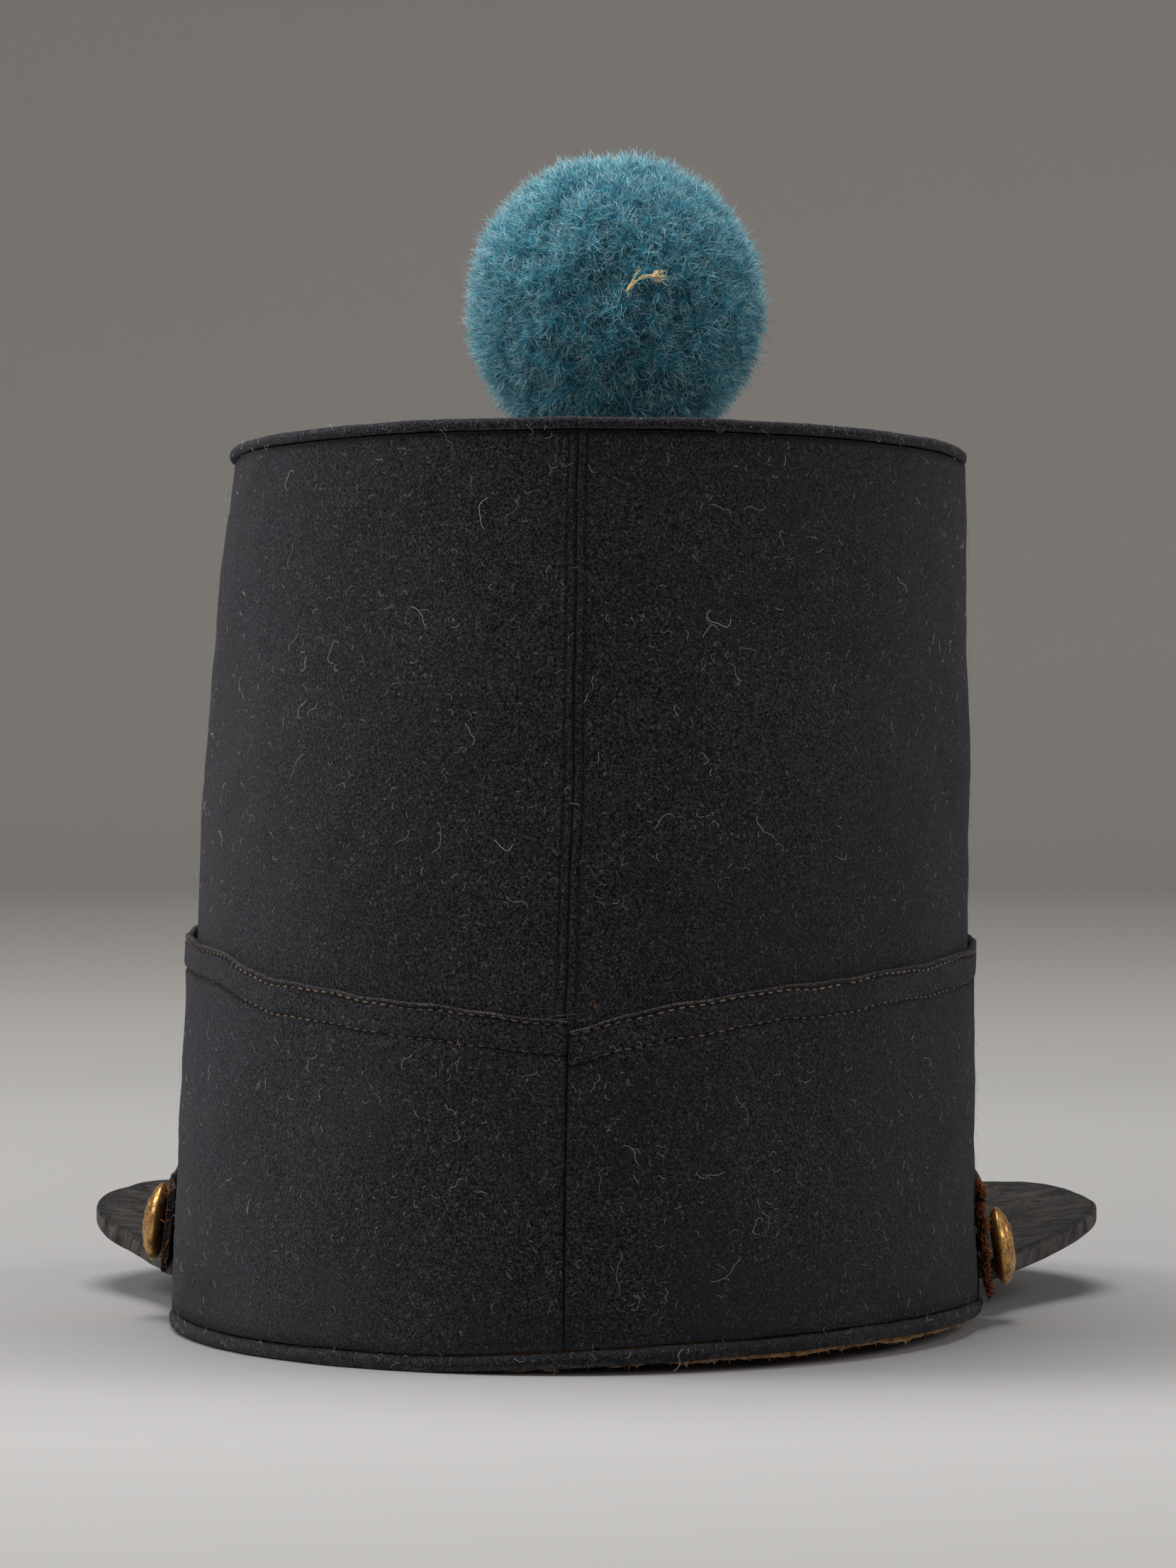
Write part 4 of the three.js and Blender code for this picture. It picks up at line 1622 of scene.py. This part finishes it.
@dataclass
class ChinStrap(Part):
    """Leather strap from button to button, its two ends gone to red rot."""

    rows: tuple[StrapRow, ...] = (
        StrapRow(-186, 10, 26, 1.6, 1),
        StrapRow(-184, 6.4, 29, 1.6, 1.5),
        StrapRow(-181, 5.2, 30, 1.6, 1.6),
        StrapRow(-177, 5.6, 30, 1.6, 1.6),
        StrapRow(-173.6, 12.9, 30.4, 1.6, 1.2),
        StrapRow(-160, 12.9, 30.6, 1.8, 0),
        StrapRow(-142, 12.9, 31, 2.6, 0),
        StrapRow(-118, 12.7, 31.5, 3.2, 0),
        StrapRow(-90, 12.5, 31.5, 2.2, 0),
        StrapRow(-62, 14.5, 33, 3.4, 0),
        StrapRow(-38, 16.6, 34.8, 6.2, 1),
        StrapRow(-20, 16.8, 35, 6.4, 2),
        StrapRow(-11, 14, 34.2, 3.6, 2.6),
        StrapRow(-6.4, 12.9, 31.8, 2.4, 1.2),
        StrapRow(-4, 10.6, 30.6, 1.6, 1.8),
        StrapRow(0, 10, 30.3, 1.6, 1.9),
        StrapRow(4, 10.4, 29.6, 1.6, 1.7),
        StrapRow(6, 13, 27, 1.6, 1.2),
    )
    thickness: float = 1.3
    bare_reach: float = 2.5
    rot_reach: float = -26
    torn_drop: float = 1.7

    def skin(self) -> np.ndarray:
        """Points of the strap's skin, from its -X end round the front to its +X end.

        Returns:
            Stations by section points by x, y and z.
        """
        table = np.array(self.rows)
        first, last = table[0, 0], table[-1, 0]
        turns = spaced_turns(first, last, 0.9, {first: 6, last: 6})
        low = np.interp(turns, table[:, 0], table[:, 1])
        high = np.interp(turns, table[:, 0], table[:, 2])
        shifts = np.linspace(-4, 4, 9)
        outset = np.mean([np.interp(turns + s, table[:, 0], table[:, 3]) for s in shifts], axis=0)
        flare = np.interp(turns, table[:, 0], table[:, 4])
        shares = [0, 0.02, 0.06, 0.25, 0.5, 0.75, 0.94, 0.98, 1]
        inwards = [0.45, 0.15, 0, 0, 0, 0, 0, 0.15, 0.45]
        outer, inner = [], []
        for share, inward in zip(shares, inwards):
            level = low + (high - low) * share
            back = outset + flare * (1 - share)
            outer.append(self.form.place(turns, level, back + self.thickness - inward))
            inner.append(self.form.place(turns, level, back + inward * 0.5))
        grid = np.stack([*outer, *inner[::-1]], axis=1)
        end = np.minimum(turns - first, last - turns)[:, None]
        grid[..., 2] += step_between(end, 5, 0) * 0.3 * ripple(grid, 2.4, 51)
        torn = step_between(turns, -166, -176)[:, None] * step_between(grid[..., 2], 26, 31)
        grid[..., 2] -= self.torn_drop * torn
        grid[..., 1] += step_between(end, 1.2, 0) * 0.5 * ripple(grid, 1.9, 52)
        return grid

    def build(
        self,
        leather: Finish,
        cracked: Finish,
        rotted: Finish,
    ) -> None:
        """Builds the strap.

        Args:
            leather: Material of its long middle.
            cracked: Material of its +X end.
            rotted: Material of its -X end.
        """
        grid = self.skin()
        strap = swept("chin_strap_leather", grid, around=False, profile_closed=True, ends=Ends.STRIPS)
        self.finish_piece(strap, Slot.LEATHER, leather, ["chin_strap"])
        strap.data.materials.append(cracked)
        strap.data.materials.append(rotted)
        centres = np.empty(len(strap.data.polygons) * 3)
        strap.data.polygons.foreach_get("center", centres)
        x, y = centres.reshape(-1, 3)[:, 0], centres.reshape(-1, 3)[:, 1] / MM
        kind = np.where(x > 0, 1, 2) * (y > np.where(x > 0, self.bare_reach, self.rot_reach))
        strap.data.polygons.foreach_set("material_index", kind.astype(np.int32))

    def end_skin(self, side: int) -> Thing:
        """A narrow skin over one rotted end, for its fibres.

        Args:
            side: 1 for the +X end, -1 for the -X end.

        Returns:
            The skin.
        """
        turns = np.linspace(3.8, 6.6, 6)
        levels = np.linspace(11, 29, 9) if side > 0 else np.linspace(6.5, 29.5, 9)
        turn, level = np.meshgrid(turns if side > 0 else 180 - turns, levels, indexing="ij")
        points = self.form.place(turn, level, 2.2 + (30 - level) * 0.07 + 0.5 * np.sin(level))
        return swept("strap_end_skin", points, around=False, profile_closed=False)


# ---- buttons


@dataclass
class SideButton(Part):
    """Domed stamped button with a rolled rim and a plain rosette in relief."""

    name: str = "button_left"
    turn: float = -1.5
    height: float = 19.3
    back_outset: float = 4.4
    tilt: float = 8
    petals: int = 9
    # Radius and height of each ring of the half section, from the middle of the front to the back.
    rings: tuple[tuple[float, float], ...] = (
        (0.05, 4.5), (2, 4.45), (4, 4.2), (5.6, 3.7), (6.9, 3.05), (7.7, 2.4), (8, 1.75),
        (7.6, 1.05), (6.7, 0.5), (5.2, 0.15), (3.6, 0.02), (0.05, 0.02),
    )

    def build(self, gilt: Finish) -> None:
        """Builds the button on its side of the hat.

        Args:
            gilt: Its material.
        """
        rings = through_rows(np.array(self.rings), 62)
        angles = np.arange(96) * 2 * math.pi / 96
        angle, radius = np.meshgrid(angles, rings[:, 0], indexing="ij")
        height = np.broadcast_to(rings[:, 1], radius.shape).copy()
        front = np.broadcast_to(step_between(rings[:, 1], 2.5, 3.3), radius.shape)
        petal = np.abs(np.cos(self.petals / 2 * angle)) * np.exp(-(((radius - 2.9) / 1.2) ** 2))
        eye = np.exp(-((radius / 0.9) ** 2))
        fillet = np.exp(-(((radius - 5.1) / 0.28) ** 2))
        beads = (0.6 + 0.4 * np.cos(36 * angle)) * fillet
        height += front * (0.3 * petal + 0.2 * eye + 0.12 * beads - 0.12)
        round_points = np.stack([height, radius * np.cos(angle), radius * np.sin(angle)], axis=-1)
        height += front * 0.09 * ripple(round_points, 1.2, 61)
        height = np.minimum(height, 4.5)
        side = 1.0 if math.cos(math.radians(self.turn)) > 0 else -1.0
        seat = self.form.place(np.array(self.turn), np.array(self.height), np.array(self.back_outset))
        lean = math.radians(self.tilt)
        rise = radius * np.sin(angle)
        x = seat[0] + side * (height * math.cos(lean) - rise * math.sin(lean))
        y = seat[1] + radius * np.cos(angle)
        z = self.height + height * math.sin(lean) + rise * math.cos(lean)
        grid = np.stack([x, y, z], axis=-1)
        piece = swept(f"{self.name}_brass", grid, around=True, profile_closed=False, poles=True)
        self.finish_piece(piece, Slot.BRASS, gilt, [self.name])


# ---- pompom


@dataclass
class Pompom(Part):
    """Ball of clipped wool, with a wisp of its tying thread."""

    centre: tuple[float, float, float] = (-4.2, -78.0, 209.7)
    half_width: float = 32.5
    half_height: float = 33.2
    # A wool fibre is about 0.03 mm thick; these are fewer and thicker, so that they show.
    pile: float = 3.7
    fibre_radii: tuple[float, float, float] = (0.08, 0.062, 0.02)
    fibres_each: int = 10500
    batches: int = 4
    core_radius: float = 30
    lumps: tuple[Wave, ...] = (Wave(0.3, 13, 71), Wave(0.6, 5.5, 72), Wave(0.8, 3, 74, 24))
    dimple_depth: float = 3.4
    # Direction of each hollow from the middle, and its reach.
    dimples: tuple[tuple[float, float, float, float], ...] = (
        (7.5, 17.0, 26.5, 5.0),
        (12.5, 22.0, 16.5, 5.0),
        (-15.7, 28.0, -2.6, 4.5),
        (2.0, 29.0, 5.0, 6.0),
    )

    def core_object(self, name: str, sunk: float) -> Thing:
        """The ball under the pile, lumpy and dimpled.

        Args:
            name: Name of the object.
            sunk: Depth below the tips of the pile.

        Returns:
            The ball.
        """
        turns = np.arange(0, 360, 2.25)
        rises = np.linspace(-88.5, 88.5, 84)
        turn, rise = np.meshgrid(np.radians(turns), np.radians(rises), indexing="ij")
        way = np.stack(
            [np.cos(rise) * np.cos(turn), np.cos(rise) * np.sin(turn), np.sin(rise)], axis=-1
        )
        rim = way * self.core_radius
        depth = uneven(rim, self.lumps)
        for x, y, z, reach in self.dimples:
            middle = np.array([x, y, z]) / np.linalg.norm([x, y, z]) * self.core_radius
            away = np.linalg.norm(rim - middle, axis=-1)
            depth -= self.dimple_depth * np.exp(-((away / reach) ** 2))
        radius = 1 - (sunk - np.clip(depth, -4.0, 1.1)) / self.half_width
        size = np.array([self.half_width, self.half_width, self.half_height])
        grid = np.array(self.centre) + way * size * radius[..., None]
        return swept(name, grid, around=True, profile_closed=False, poles=True)

    def fibre_kinds(self) -> list[Shape]:
        """A few bent fibres that stand along +Z.

        Returns:
            Points and faces of each kind.
        """
        draw = np.random.default_rng(73)
        kinds = []
        for _ in range(7):
            bend = draw.uniform(-1.5, 1.5, size=2)
            curl = draw.uniform(-1.6, 1.6, size=2)
            length = self.pile * draw.uniform(0.85, 1.1)
            path = np.array(
                [
                    [0.0, 0.0, -0.4],
                    [bend[0] * 0.45, bend[1] * 0.45, length * 0.55],
                    [bend[0] + curl[0] * 0.6, bend[1] + curl[1] * 0.6, length],
                ]
            )
            kinds.append(tube(path, self.fibre_radii, 3))
        return kinds

    def build(self, scatter: ScatterTree, core: Finish, wool: Finish) -> None:
        """Builds the ball and its pile.

        Args:
            scatter: Tree that sets fibres on a skin.
            core: Material of the ball under the pile.
            wool: Material of the pile.
        """
        ball = self.core_object("pompom_core", self.pile * 0.82)
        self.finish_piece(ball, Slot.WOOL, core, ["pompom"])
        kinds = FibreBox("pompom_fibres", self.fibre_kinds())
        area = 4 * math.pi * (self.half_width * MM) ** 2
        for batch in range(self.batches):
            skin = self.core_object("pompom_skin", self.pile * 0.85)
            values = {
                "Density": self.fibres_each / area,
                "Seed": 81 + batch,
                "Fibres": kinds.collection,
                "Smallest": 0.7,
                "Largest": 1.15,
                "Lean": 1.0,
                "Material": wool,
            }
            pile = grown(f"pompom_pile_{batch + 1}", skin, scatter, values)
            self.finish_piece(pile, Slot.WOOL)
        kinds.empty()

    def build_wisp(self, straw: Finish) -> None:
        """Builds the straw-coloured thread ends that stick out of the pile.

        Args:
            straw: Their material.
        """
        draw = np.random.default_rng(91)
        root = np.array([-8.0, -46.0, 211.5])
        tuft = root + np.array([-7.4, 2.2, 2.9])
        paths = []
        for thread in range(34):
            share = np.linspace(0, 1, 9)[:, None]
            wave = 0.22 * np.sin(share * 8 + draw.uniform(0, 6)) * draw.normal(size=3)
            if thread < 4:
                reach = np.array([-3.2, 2.0, 4.6]) + draw.normal(size=3) * 0.5
                paths.append(root + reach * share + wave * share)
            elif thread < 13:
                bow = np.array([0.0, 0.6, 1.5]) * np.sin(math.pi * share)
                paths.append(root + (tuft - root) * share + bow + wave)
            else:
                reach = np.array([-2.2, 0.6, -0.4]) + draw.normal(size=3) * np.array([0.9, 0.4, 1.1])
                start = tuft + draw.normal(size=3) * 0.35 + np.array([1.6, 0.0, 0.3])
                paths.append(start + reach * share + 1.6 * wave)
        wisp = joined_tubes("pompom_tie_ends", paths, 0.085, 4)
        self.finish_piece(wisp, Slot.WOOL, straw)


# ---- threads, lint and fray


@dataclass
class Trimmings(Part):
    """Stitches, lint, frayed edges and other loose fibres."""

    crown: Crown = field(default_factory=Crown)
    base: BaseCord = field(default_factory=BaseCord)
    strap: ChinStrap = field(default_factory=ChinStrap)
    # Numbers for each square metre.
    hair_density: float = 3600
    fuzz_density: float = 31000
    speck_density: float = 9000
    speck_radius: float = 0.09
    cord_band: float = 1.8
    # Turn, level and outset of each place where lint has gathered.
    tangles: tuple[tuple[float, float, float], ...] = (
        (105.0, 58.0, 1.7), (101.5, 54.0, 1.7), (94.5, 49.5, 1.7), (93.8, 44.0, 1.7),
        (85.5, 88.0, 0.4), (96.5, 92.0, 0.4), (112.5, 132.0, 0.4), (109.0, 101.0, 0.4),
        (74.0, 120.0, 0.4), (118.0, 27.0, 1.7), (103.0, 14.0, 1.7), (64.0, 142.0, 0.4),
    )

    def tangle_skin(self, half: float) -> Thing:
        """Small squares of skin where lint has gathered.

        Args:
            half: Half the side of each square.

        Returns:
            The squares in one object.
        """
        points, faces = [], []
        for turn, level, outset in self.tangles:
            corners = [(-half, -half), (half, -half), (half, half), (-half, half)]
            for across, up in corners:
                spot = self.form.shifted(np.array(turn), np.array(level), across)
                points.append(self.form.place(spot, np.array(level + up), outset))
            base = len(points) - 4
            faces.append([base + 3, base + 2, base + 1, base])
        return new_object("tangle_skin", np.array(points), faces)

    def sew(
        self,
        stitches: StitchTree,
        name: str,
        paths: Sequence[np.ndarray],
        material: Finish,
        pitch: float,
        length: float,
        thick: float,
    ) -> None:
        """Lays a run of stitches along some paths.

        Args:
            stitches: Tree that lays the stitches.
            name: Name of the piece.
            paths: Where they run.
            material: Material of the thread.
            pitch: Step from stitch to stitch.
            length: Length of a stitch.
            thick: Thickness of the thread.
        """
        values = {
            "Pitch": pitch * MM,
            "Length": length * MM,
            "Thickness": thick * MM,
            "Seed": 5,
            "Material": material,
        }
        run = grown(name, path_object(name, paths), stitches, values)
        self.finish_piece(run, Slot.CLOTH)

    def skin(
        self, low: float, high: float, outset: float, stations: int = 60, rows: int = 24
    ) -> Thing:
        """A skin just over the cloth or a cord, for lint to lie on.

        Args:
            low: Level of its foot.
            high: Level of its head; a skin that ends below 10 follows the rim's lift.
            outset: Distance outside the crown's outer face.
            stations: Points round the hat.
            rows: Points from foot to head.

        Returns:
            The skin.
        """
        turn, level = np.meshgrid(
            np.linspace(0, 354, stations), np.linspace(low, high, rows), indexing="ij"
        )
        level = level + self.form.rim_lift(turn) * (high < 10)
        return swept("lint_skin", self.form.place(turn, level, outset), False, False)

    def top_skin(self) -> Thing:
        """A skin just over the flat top.

        Returns:
            The skin.
        """
        turns = np.arange(0, 360, 6.0)
        rim = self.form.place(turns, np.full_like(turns, self.crown.disc_over), -3.0)
        middle = rim.mean(axis=0)
        rings = [middle + (rim - middle) * share for share in (0.02, 0.35, 0.7, 1.0)]
        return swept("top_skin", np.stack(rings, axis=1) + np.array([0.0, 0.0, 0.45]), True, False)

    def hair_kinds(
        self, count: int, seed: int, radius: float, longest: float, steps: int
    ) -> list[Shape]:
        """Curly hairs that lie nearly flat.

        Args:
            count: Number of kinds.
            seed: Fixed seed.
            radius: Radius at the root.
            longest: Length of the longest.
            steps: Bends in each.

        Returns:
            Points and faces of each kind.
        """
        draw = np.random.default_rng(seed)
        kinds = []
        for _ in range(count):
            heading = draw.uniform(0, 2 * math.pi)
            curl = draw.normal(scale=0.32)
            step = draw.uniform(0.35, 1.0) * longest / steps
            place = np.zeros(3)
            path = [place.copy()]
            for _ in range(steps):
                curl = 0.75 * curl + draw.normal(scale=0.26)
                heading += curl
                place = place + step * np.array([math.cos(heading), math.sin(heading), 0])
                place[2] = abs(draw.normal(scale=0.14)) + 0.05
                path.append(place.copy())
            kinds.append(tube(np.array(path), [radius] * (steps + 1), 3))
        return kinds

    def lint(self, scatter: ScatterTree, pale: Finish) -> None:
        """Scatters lint hairs, fuzz and specks over all the cloth.

        Args:
            scatter: Tree that sets fibres on a skin.
            pale: Material of the lint.
        """
        hairs = FibreBox("lint_hairs", self.hair_kinds(14, 101, 0.032, 7.5, 13))
        fuzz = FibreBox("fuzz_hairs", self.hair_kinds(12, 103, 0.026, 2.6, 6))
        ways = [[1, 0, 0], [-1, 0, 0], [0, 1, 0], [0, -1, 0], [0, 0, 1], [0, 0, -1]]
        speck_points = self.speck_radius * np.array(ways)
        speck_faces = [[0, 2, 4], [2, 1, 4], [1, 3, 4], [3, 0, 4]]
        speck_faces += [[2, 0, 5], [1, 2, 5], [3, 1, 5], [0, 3, 5]]
        specks = FibreBox("specks", [(speck_points, speck_faces)])
        patches = (
            ("crown", self.skin(84, 173, 0.4), 1.0, 1.0),
            ("top", self.top_skin(), 0.8, 0.8),
            ("top_cord", self.skin(174.3, 174.3 + self.cord_band, 0.75, 90, 3), 3.0, 4.5),
            ("base_cord", self.skin(1.4, 1.4 + self.cord_band, 2.3, 90, 3), 3.0, 4.5),
            ("band", self.skin(6, 62, 1.75), 1.2, 1.2),
            ("tangle", self.tangle_skin(4.5), 9.0, 2.5),
        )
        for name, skin, hair_share, share in patches:
            for kind, box, density, small, large in (
                ("lint", hairs, self.hair_density * hair_share / share, 0.35, 1.25),
                ("fuzz", fuzz, self.fuzz_density, 0.4, 1.2),
                ("specks", specks, self.speck_density, 0.25, 1.0),
            ):
                copy = skin.copy()
                copy.data = skin.data.copy()
                bpy.context.scene.collection.objects.link(copy)
                values = {
                    "Density": density * share,
                    "Seed": 7 + len(self.made),
                    "Fibres": box.collection,
                    "Smallest": small,
                    "Largest": large,
                    "Lean": 0.05,
                    "Material": pale,
                }
                self.finish_piece(grown(f"{name}_{kind}", copy, scatter, values), Slot.CLOTH)
            bpy.data.objects.remove(skin)
        for box in (hairs, fuzz, specks):
            box.empty()

    def fray(self, scatter: ScatterTree, tan: Finish, rust: Finish) -> None:
        """Frays the tan leather edge and the strap's rotted ends.

        Args:
            scatter: Tree that sets fibres on a skin.
            tan: Material of the edge.
            rust: Material of the strap's ends.
        """
        draw = np.random.default_rng(111)
        kinds = []
        for _ in range(5):
            bend = draw.uniform(-0.5, 0.5, size=2)
            path = np.array([[0, 0, -0.2], [bend[0], bend[1], 0.35], [2 * bend[0], 2 * bend[1], 0.7]])
            kinds.append(tube(path, [0.1, 0.08, 0.02], 3))
        threads = FibreBox("fray_threads", kinds)
        turns = np.linspace(78, 178, 200)
        foot = self.base.edge_level(turns)
        points = [
            self.form.place(turns, foot + rise, self.base.sweat_outer + 0.1 + out)
            for rise, out in ((0.05, 1.0), (1.0, 0.6))
        ]
        skin = swept("fray_skin", np.stack(points, axis=1), False, False)
        common = {"Seed": 113, "Fibres": threads.collection, "Smallest": 0.5, "Largest": 1.2}
        values = {**common, "Density": 9e6, "Lean": 1.3, "Material": tan}
        self.finish_piece(grown("sweatband_fray", skin, scatter, values), Slot.TAN)
        for side, name, density in ((1, "strap_fray_left", 9e5), (-1, "strap_fray_right", 9e6)):
            values = {**common, "Density": density, "Largest": 1.6, "Lean": 1.2, "Material": rust}
            self.finish_piece(grown(name, self.strap.end_skin(side), scatter, values), Slot.LEATHER)
        threads.empty()


# ---- studio


@dataclass(frozen=True)
class Lamp:
    """One soft box: where it stands, how big it is and how strong."""

    name: str
    place: tuple[float, float, float]
    size: float
    power: float
    colour: str = "#ffffff"


@dataclass
class Studio:
    """Pale floor that sweeps up to a grey wall, soft boxes and the camera. Sizes in metres."""

    floor_radius: float = 2.3
    sweep: float = 0.7
    wall_height: float = 2.8
    aim: tuple[float, float, float] = (0.0, 0.0, 0.11)
    azimuth: float = 183.0
    distance: float = 1.30625
    side_shift: float = 0.0023
    eye_height: float = 0.1388
    pitch_down: float = 1.3
    focal: float = 147.74
    film: float = 36.0
    lamps: tuple[Lamp, ...] = (
        Lamp("left_box", (1.2, -0.08, 0.95), 0.8, 10.5),
        Lamp("right_box", (-1.25, -0.12, 0.75), 0.8, 5.8),
        Lamp("top_box", (0.12, -0.2, 1.55), 1.1, 20.5),
        Lamp("back_fill", (0.95, 1.45, 0.7), 1.2, 6),
    )
    ambient: float = 0.13

    def build_floor(self) -> None:
        """Builds the floor and the wall round it."""
        angles = np.arange(0, 360, 6.0)
        radii = [0.05, 0.4, 0.8, 1.2, 1.5, self.floor_radius]
        profile = [(radius, 0.0) for radius in radii]
        for angle in np.radians(np.linspace(10, 90, 9)):
            out = self.floor_radius + self.sweep * math.sin(angle)
            profile.append((out, self.sweep * (1 - math.cos(angle))))
        profile.append((self.floor_radius + self.sweep, self.wall_height))
        around = np.radians(angles)
        points = [
            np.stack([r * np.cos(around), r * np.sin(around), np.full_like(around, z)], axis=-1) / MM
            for r, z in profile
        ]
        grid = np.stack(points, axis=1)
        stations, size, _ = grid.shape
        faces = [list(range(0, stations * size, size))]
        for station in range(stations):
            after = (station + 1) % stations
            for row in range(size - 1):
                low, beside = station * size + row, after * size + row
                faces.append([low, low + 1, beside + 1, beside])
        floor = new_object("studio_floor", grid.reshape(-1, 3), faces)
        floor.data.materials.append(PaleFloor().make())

    def build_lamps(self) -> None:
        """Hangs the soft boxes and sets the room's light."""
        for lamp in self.lamps:
            data = bpy.data.lights.new(lamp.name, "AREA")
            data.shape = "DISK"
            data.size = lamp.size
            data.energy = lamp.power
            data.color = linear(lamp.colour)[:3]
            thing = bpy.data.objects.new(lamp.name, data)
            thing.location = lamp.place
            way = Vector(self.aim) - Vector(lamp.place)
            thing.rotation_euler = way.to_track_quat("-Z", "Y").to_euler()
            bpy.context.scene.collection.objects.link(thing)
        world = bpy.data.worlds.new("room")
        world.use_nodes = True
        background = world.node_tree.nodes["Background"]
        background.inputs["Color"].default_value = (1.0, 1.0, 1.0, 1.0)
        background.inputs["Strength"].default_value = self.ambient
        bpy.context.scene.world = world

    def build_camera(self) -> None:
        """Sets up the camera behind the hat, a little to one side and nearly level."""
        turn = math.radians(self.azimuth)
        away = Vector((math.sin(turn), -math.cos(turn), 0.0))
        right = Vector((math.cos(turn), math.sin(turn), 0.0))
        data = bpy.data.cameras.new("camera")
        data.sensor_fit = "VERTICAL"
        data.sensor_height = self.film
        data.lens = self.focal
        camera = bpy.data.objects.new("camera", data)
        camera.location = away * self.distance + right * self.side_shift
        camera.location.z = self.eye_height
        camera.rotation_euler = (math.radians(90 - self.pitch_down), 0.0, turn)
        bpy.context.scene.collection.objects.link(camera)
        bpy.context.scene.camera = camera

    def build(self) -> None:
        """Builds everything round the hat."""
        self.build_floor()
        self.build_lamps()
        self.build_camera()
        bpy.context.scene.view_settings.view_transform = "Standard"


# ---- the hat


STAINS = (
    Stain(63, 48.5, 16, "#28302a", 0.5),
    Stain(99.6, 81.4, 0.9, "#4c3a28", 0.6),
    Stain(99.7, 79.8, 1.0, "#4c3a28", 0.7),
    Stain(99.5, 78.1, 0.9, "#4a3826", 0.6),
    Stain(99.5, 76.4, 0.9, "#5a4028", 0.6),
    Stain(99.4, 74.6, 1.0, "#6a4a2c", 0.7),
    Stain(95.6, 68.3, 0.6, "#a87444", 0.8),
    Stain(8.0, 5.5, 4.0, "#5c3a24", 0.6),
)


def main() -> None:
    """Builds the pieces in order and reports each one."""
    logging.basicConfig(level=logging.INFO, format="%(name)s %(message)s")
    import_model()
    scatter, stitches = ScatterTree(), StitchTree()

    cloth = NappedBroadcloth(stains=STAINS).make()
    cord_cloth = NappedBroadcloth(name="rubbed_cord_cloth", weave=0.55, bare_below=60).make()
    leather = WornBlackLeather().make()
    cracked = RottedLeather("cracked_red_leather", "#3d1a10", "#0d0605", 1.6, (0.55, 0.72)).make()
    rotted = RottedLeather().make()
    tan = FibreFinish(
        "frayed_tan_leather", "#dba877", "#fff6e6", bloom=0.0, clump=1.4, clump_colour="#7a4c2c"
    ).make()
    rust = FibreFinish("red_rot_fibre", "#140604", "#b4652f", bloom=0.0).make()
    brown_thread = FibreFinish(
        "faded_sewing_thread", "#7d6858", "#e6d4c0", clump=20.0, clump_colour="#1d1714"
    ).make()
    dark_thread = FibreFinish("black_sewing_thread", "#2a211e", "#5f4d40").make()
    lint = FibreFinish("grey_lint", "#8a8a8e", "#dededa").make()
    straw = FibreFinish("straw_linen_thread", "#fbe3b4", "#fffcf0").make()
    wool = FibreFinish(
        "teal_wool_pile", "#41a3bb", "#d2f6f9", bloom=0.25, clump=3.0, clump_colour="#28708d"
    ).make()
    wool_core = FibreFinish(
        "teal_wool_root", "#398fa6", "#86d4e4", bloom=0.0, clump=3.0, clump_colour="#145068"
    ).make()
    gilt = TarnishedGilt().make()

    crown = Crown()
    crown.build_wall(cloth)
    crown.build_top(cloth)
    crown.build_welt(cord_cloth)

    band = LowerBand()
    band.build_band(cloth)
    base = BaseCord()
    base.build_cord(cord_cloth)
    base.build_sweatband(tan)

    Visor().build(leather)
    strap = ChinStrap()
    strap.build(leather, cracked, rotted)
    SideButton().build(gilt)
    SideButton(name="button_right", turn=181.5, height=15.1).build(gilt)

    pompom = Pompom()
    pompom.build(scatter, wool_core, wool)
    pompom.build_wisp(straw)
    stem = bpy.data.objects["pompom_stem"]
    stem.data.materials.clear()
    stem.data.materials.append(cloth)

    trimmings = Trimmings(crown=crown, base=base, strap=strap)
    trimmings.sew(stitches, "crown_seam_stitches", crown.seam_paths(), dark_thread, 2.1, 1.3, 0.3)
    trimmings.sew(stitches, "band_stitches", band.row_paths(), brown_thread, 2.1, 1.45, 0.42)
    tacks = joined_tubes("band_tacks", band.tack_paths(), 0.14, 6)
    trimmings.finish_piece(tacks, Slot.CLOTH, brown_thread)
    trimmings.lint(scatter, lint)
    trimmings.fray(scatter, tan, rust)

    Studio().build()


if __name__ == "__main__":
    main()
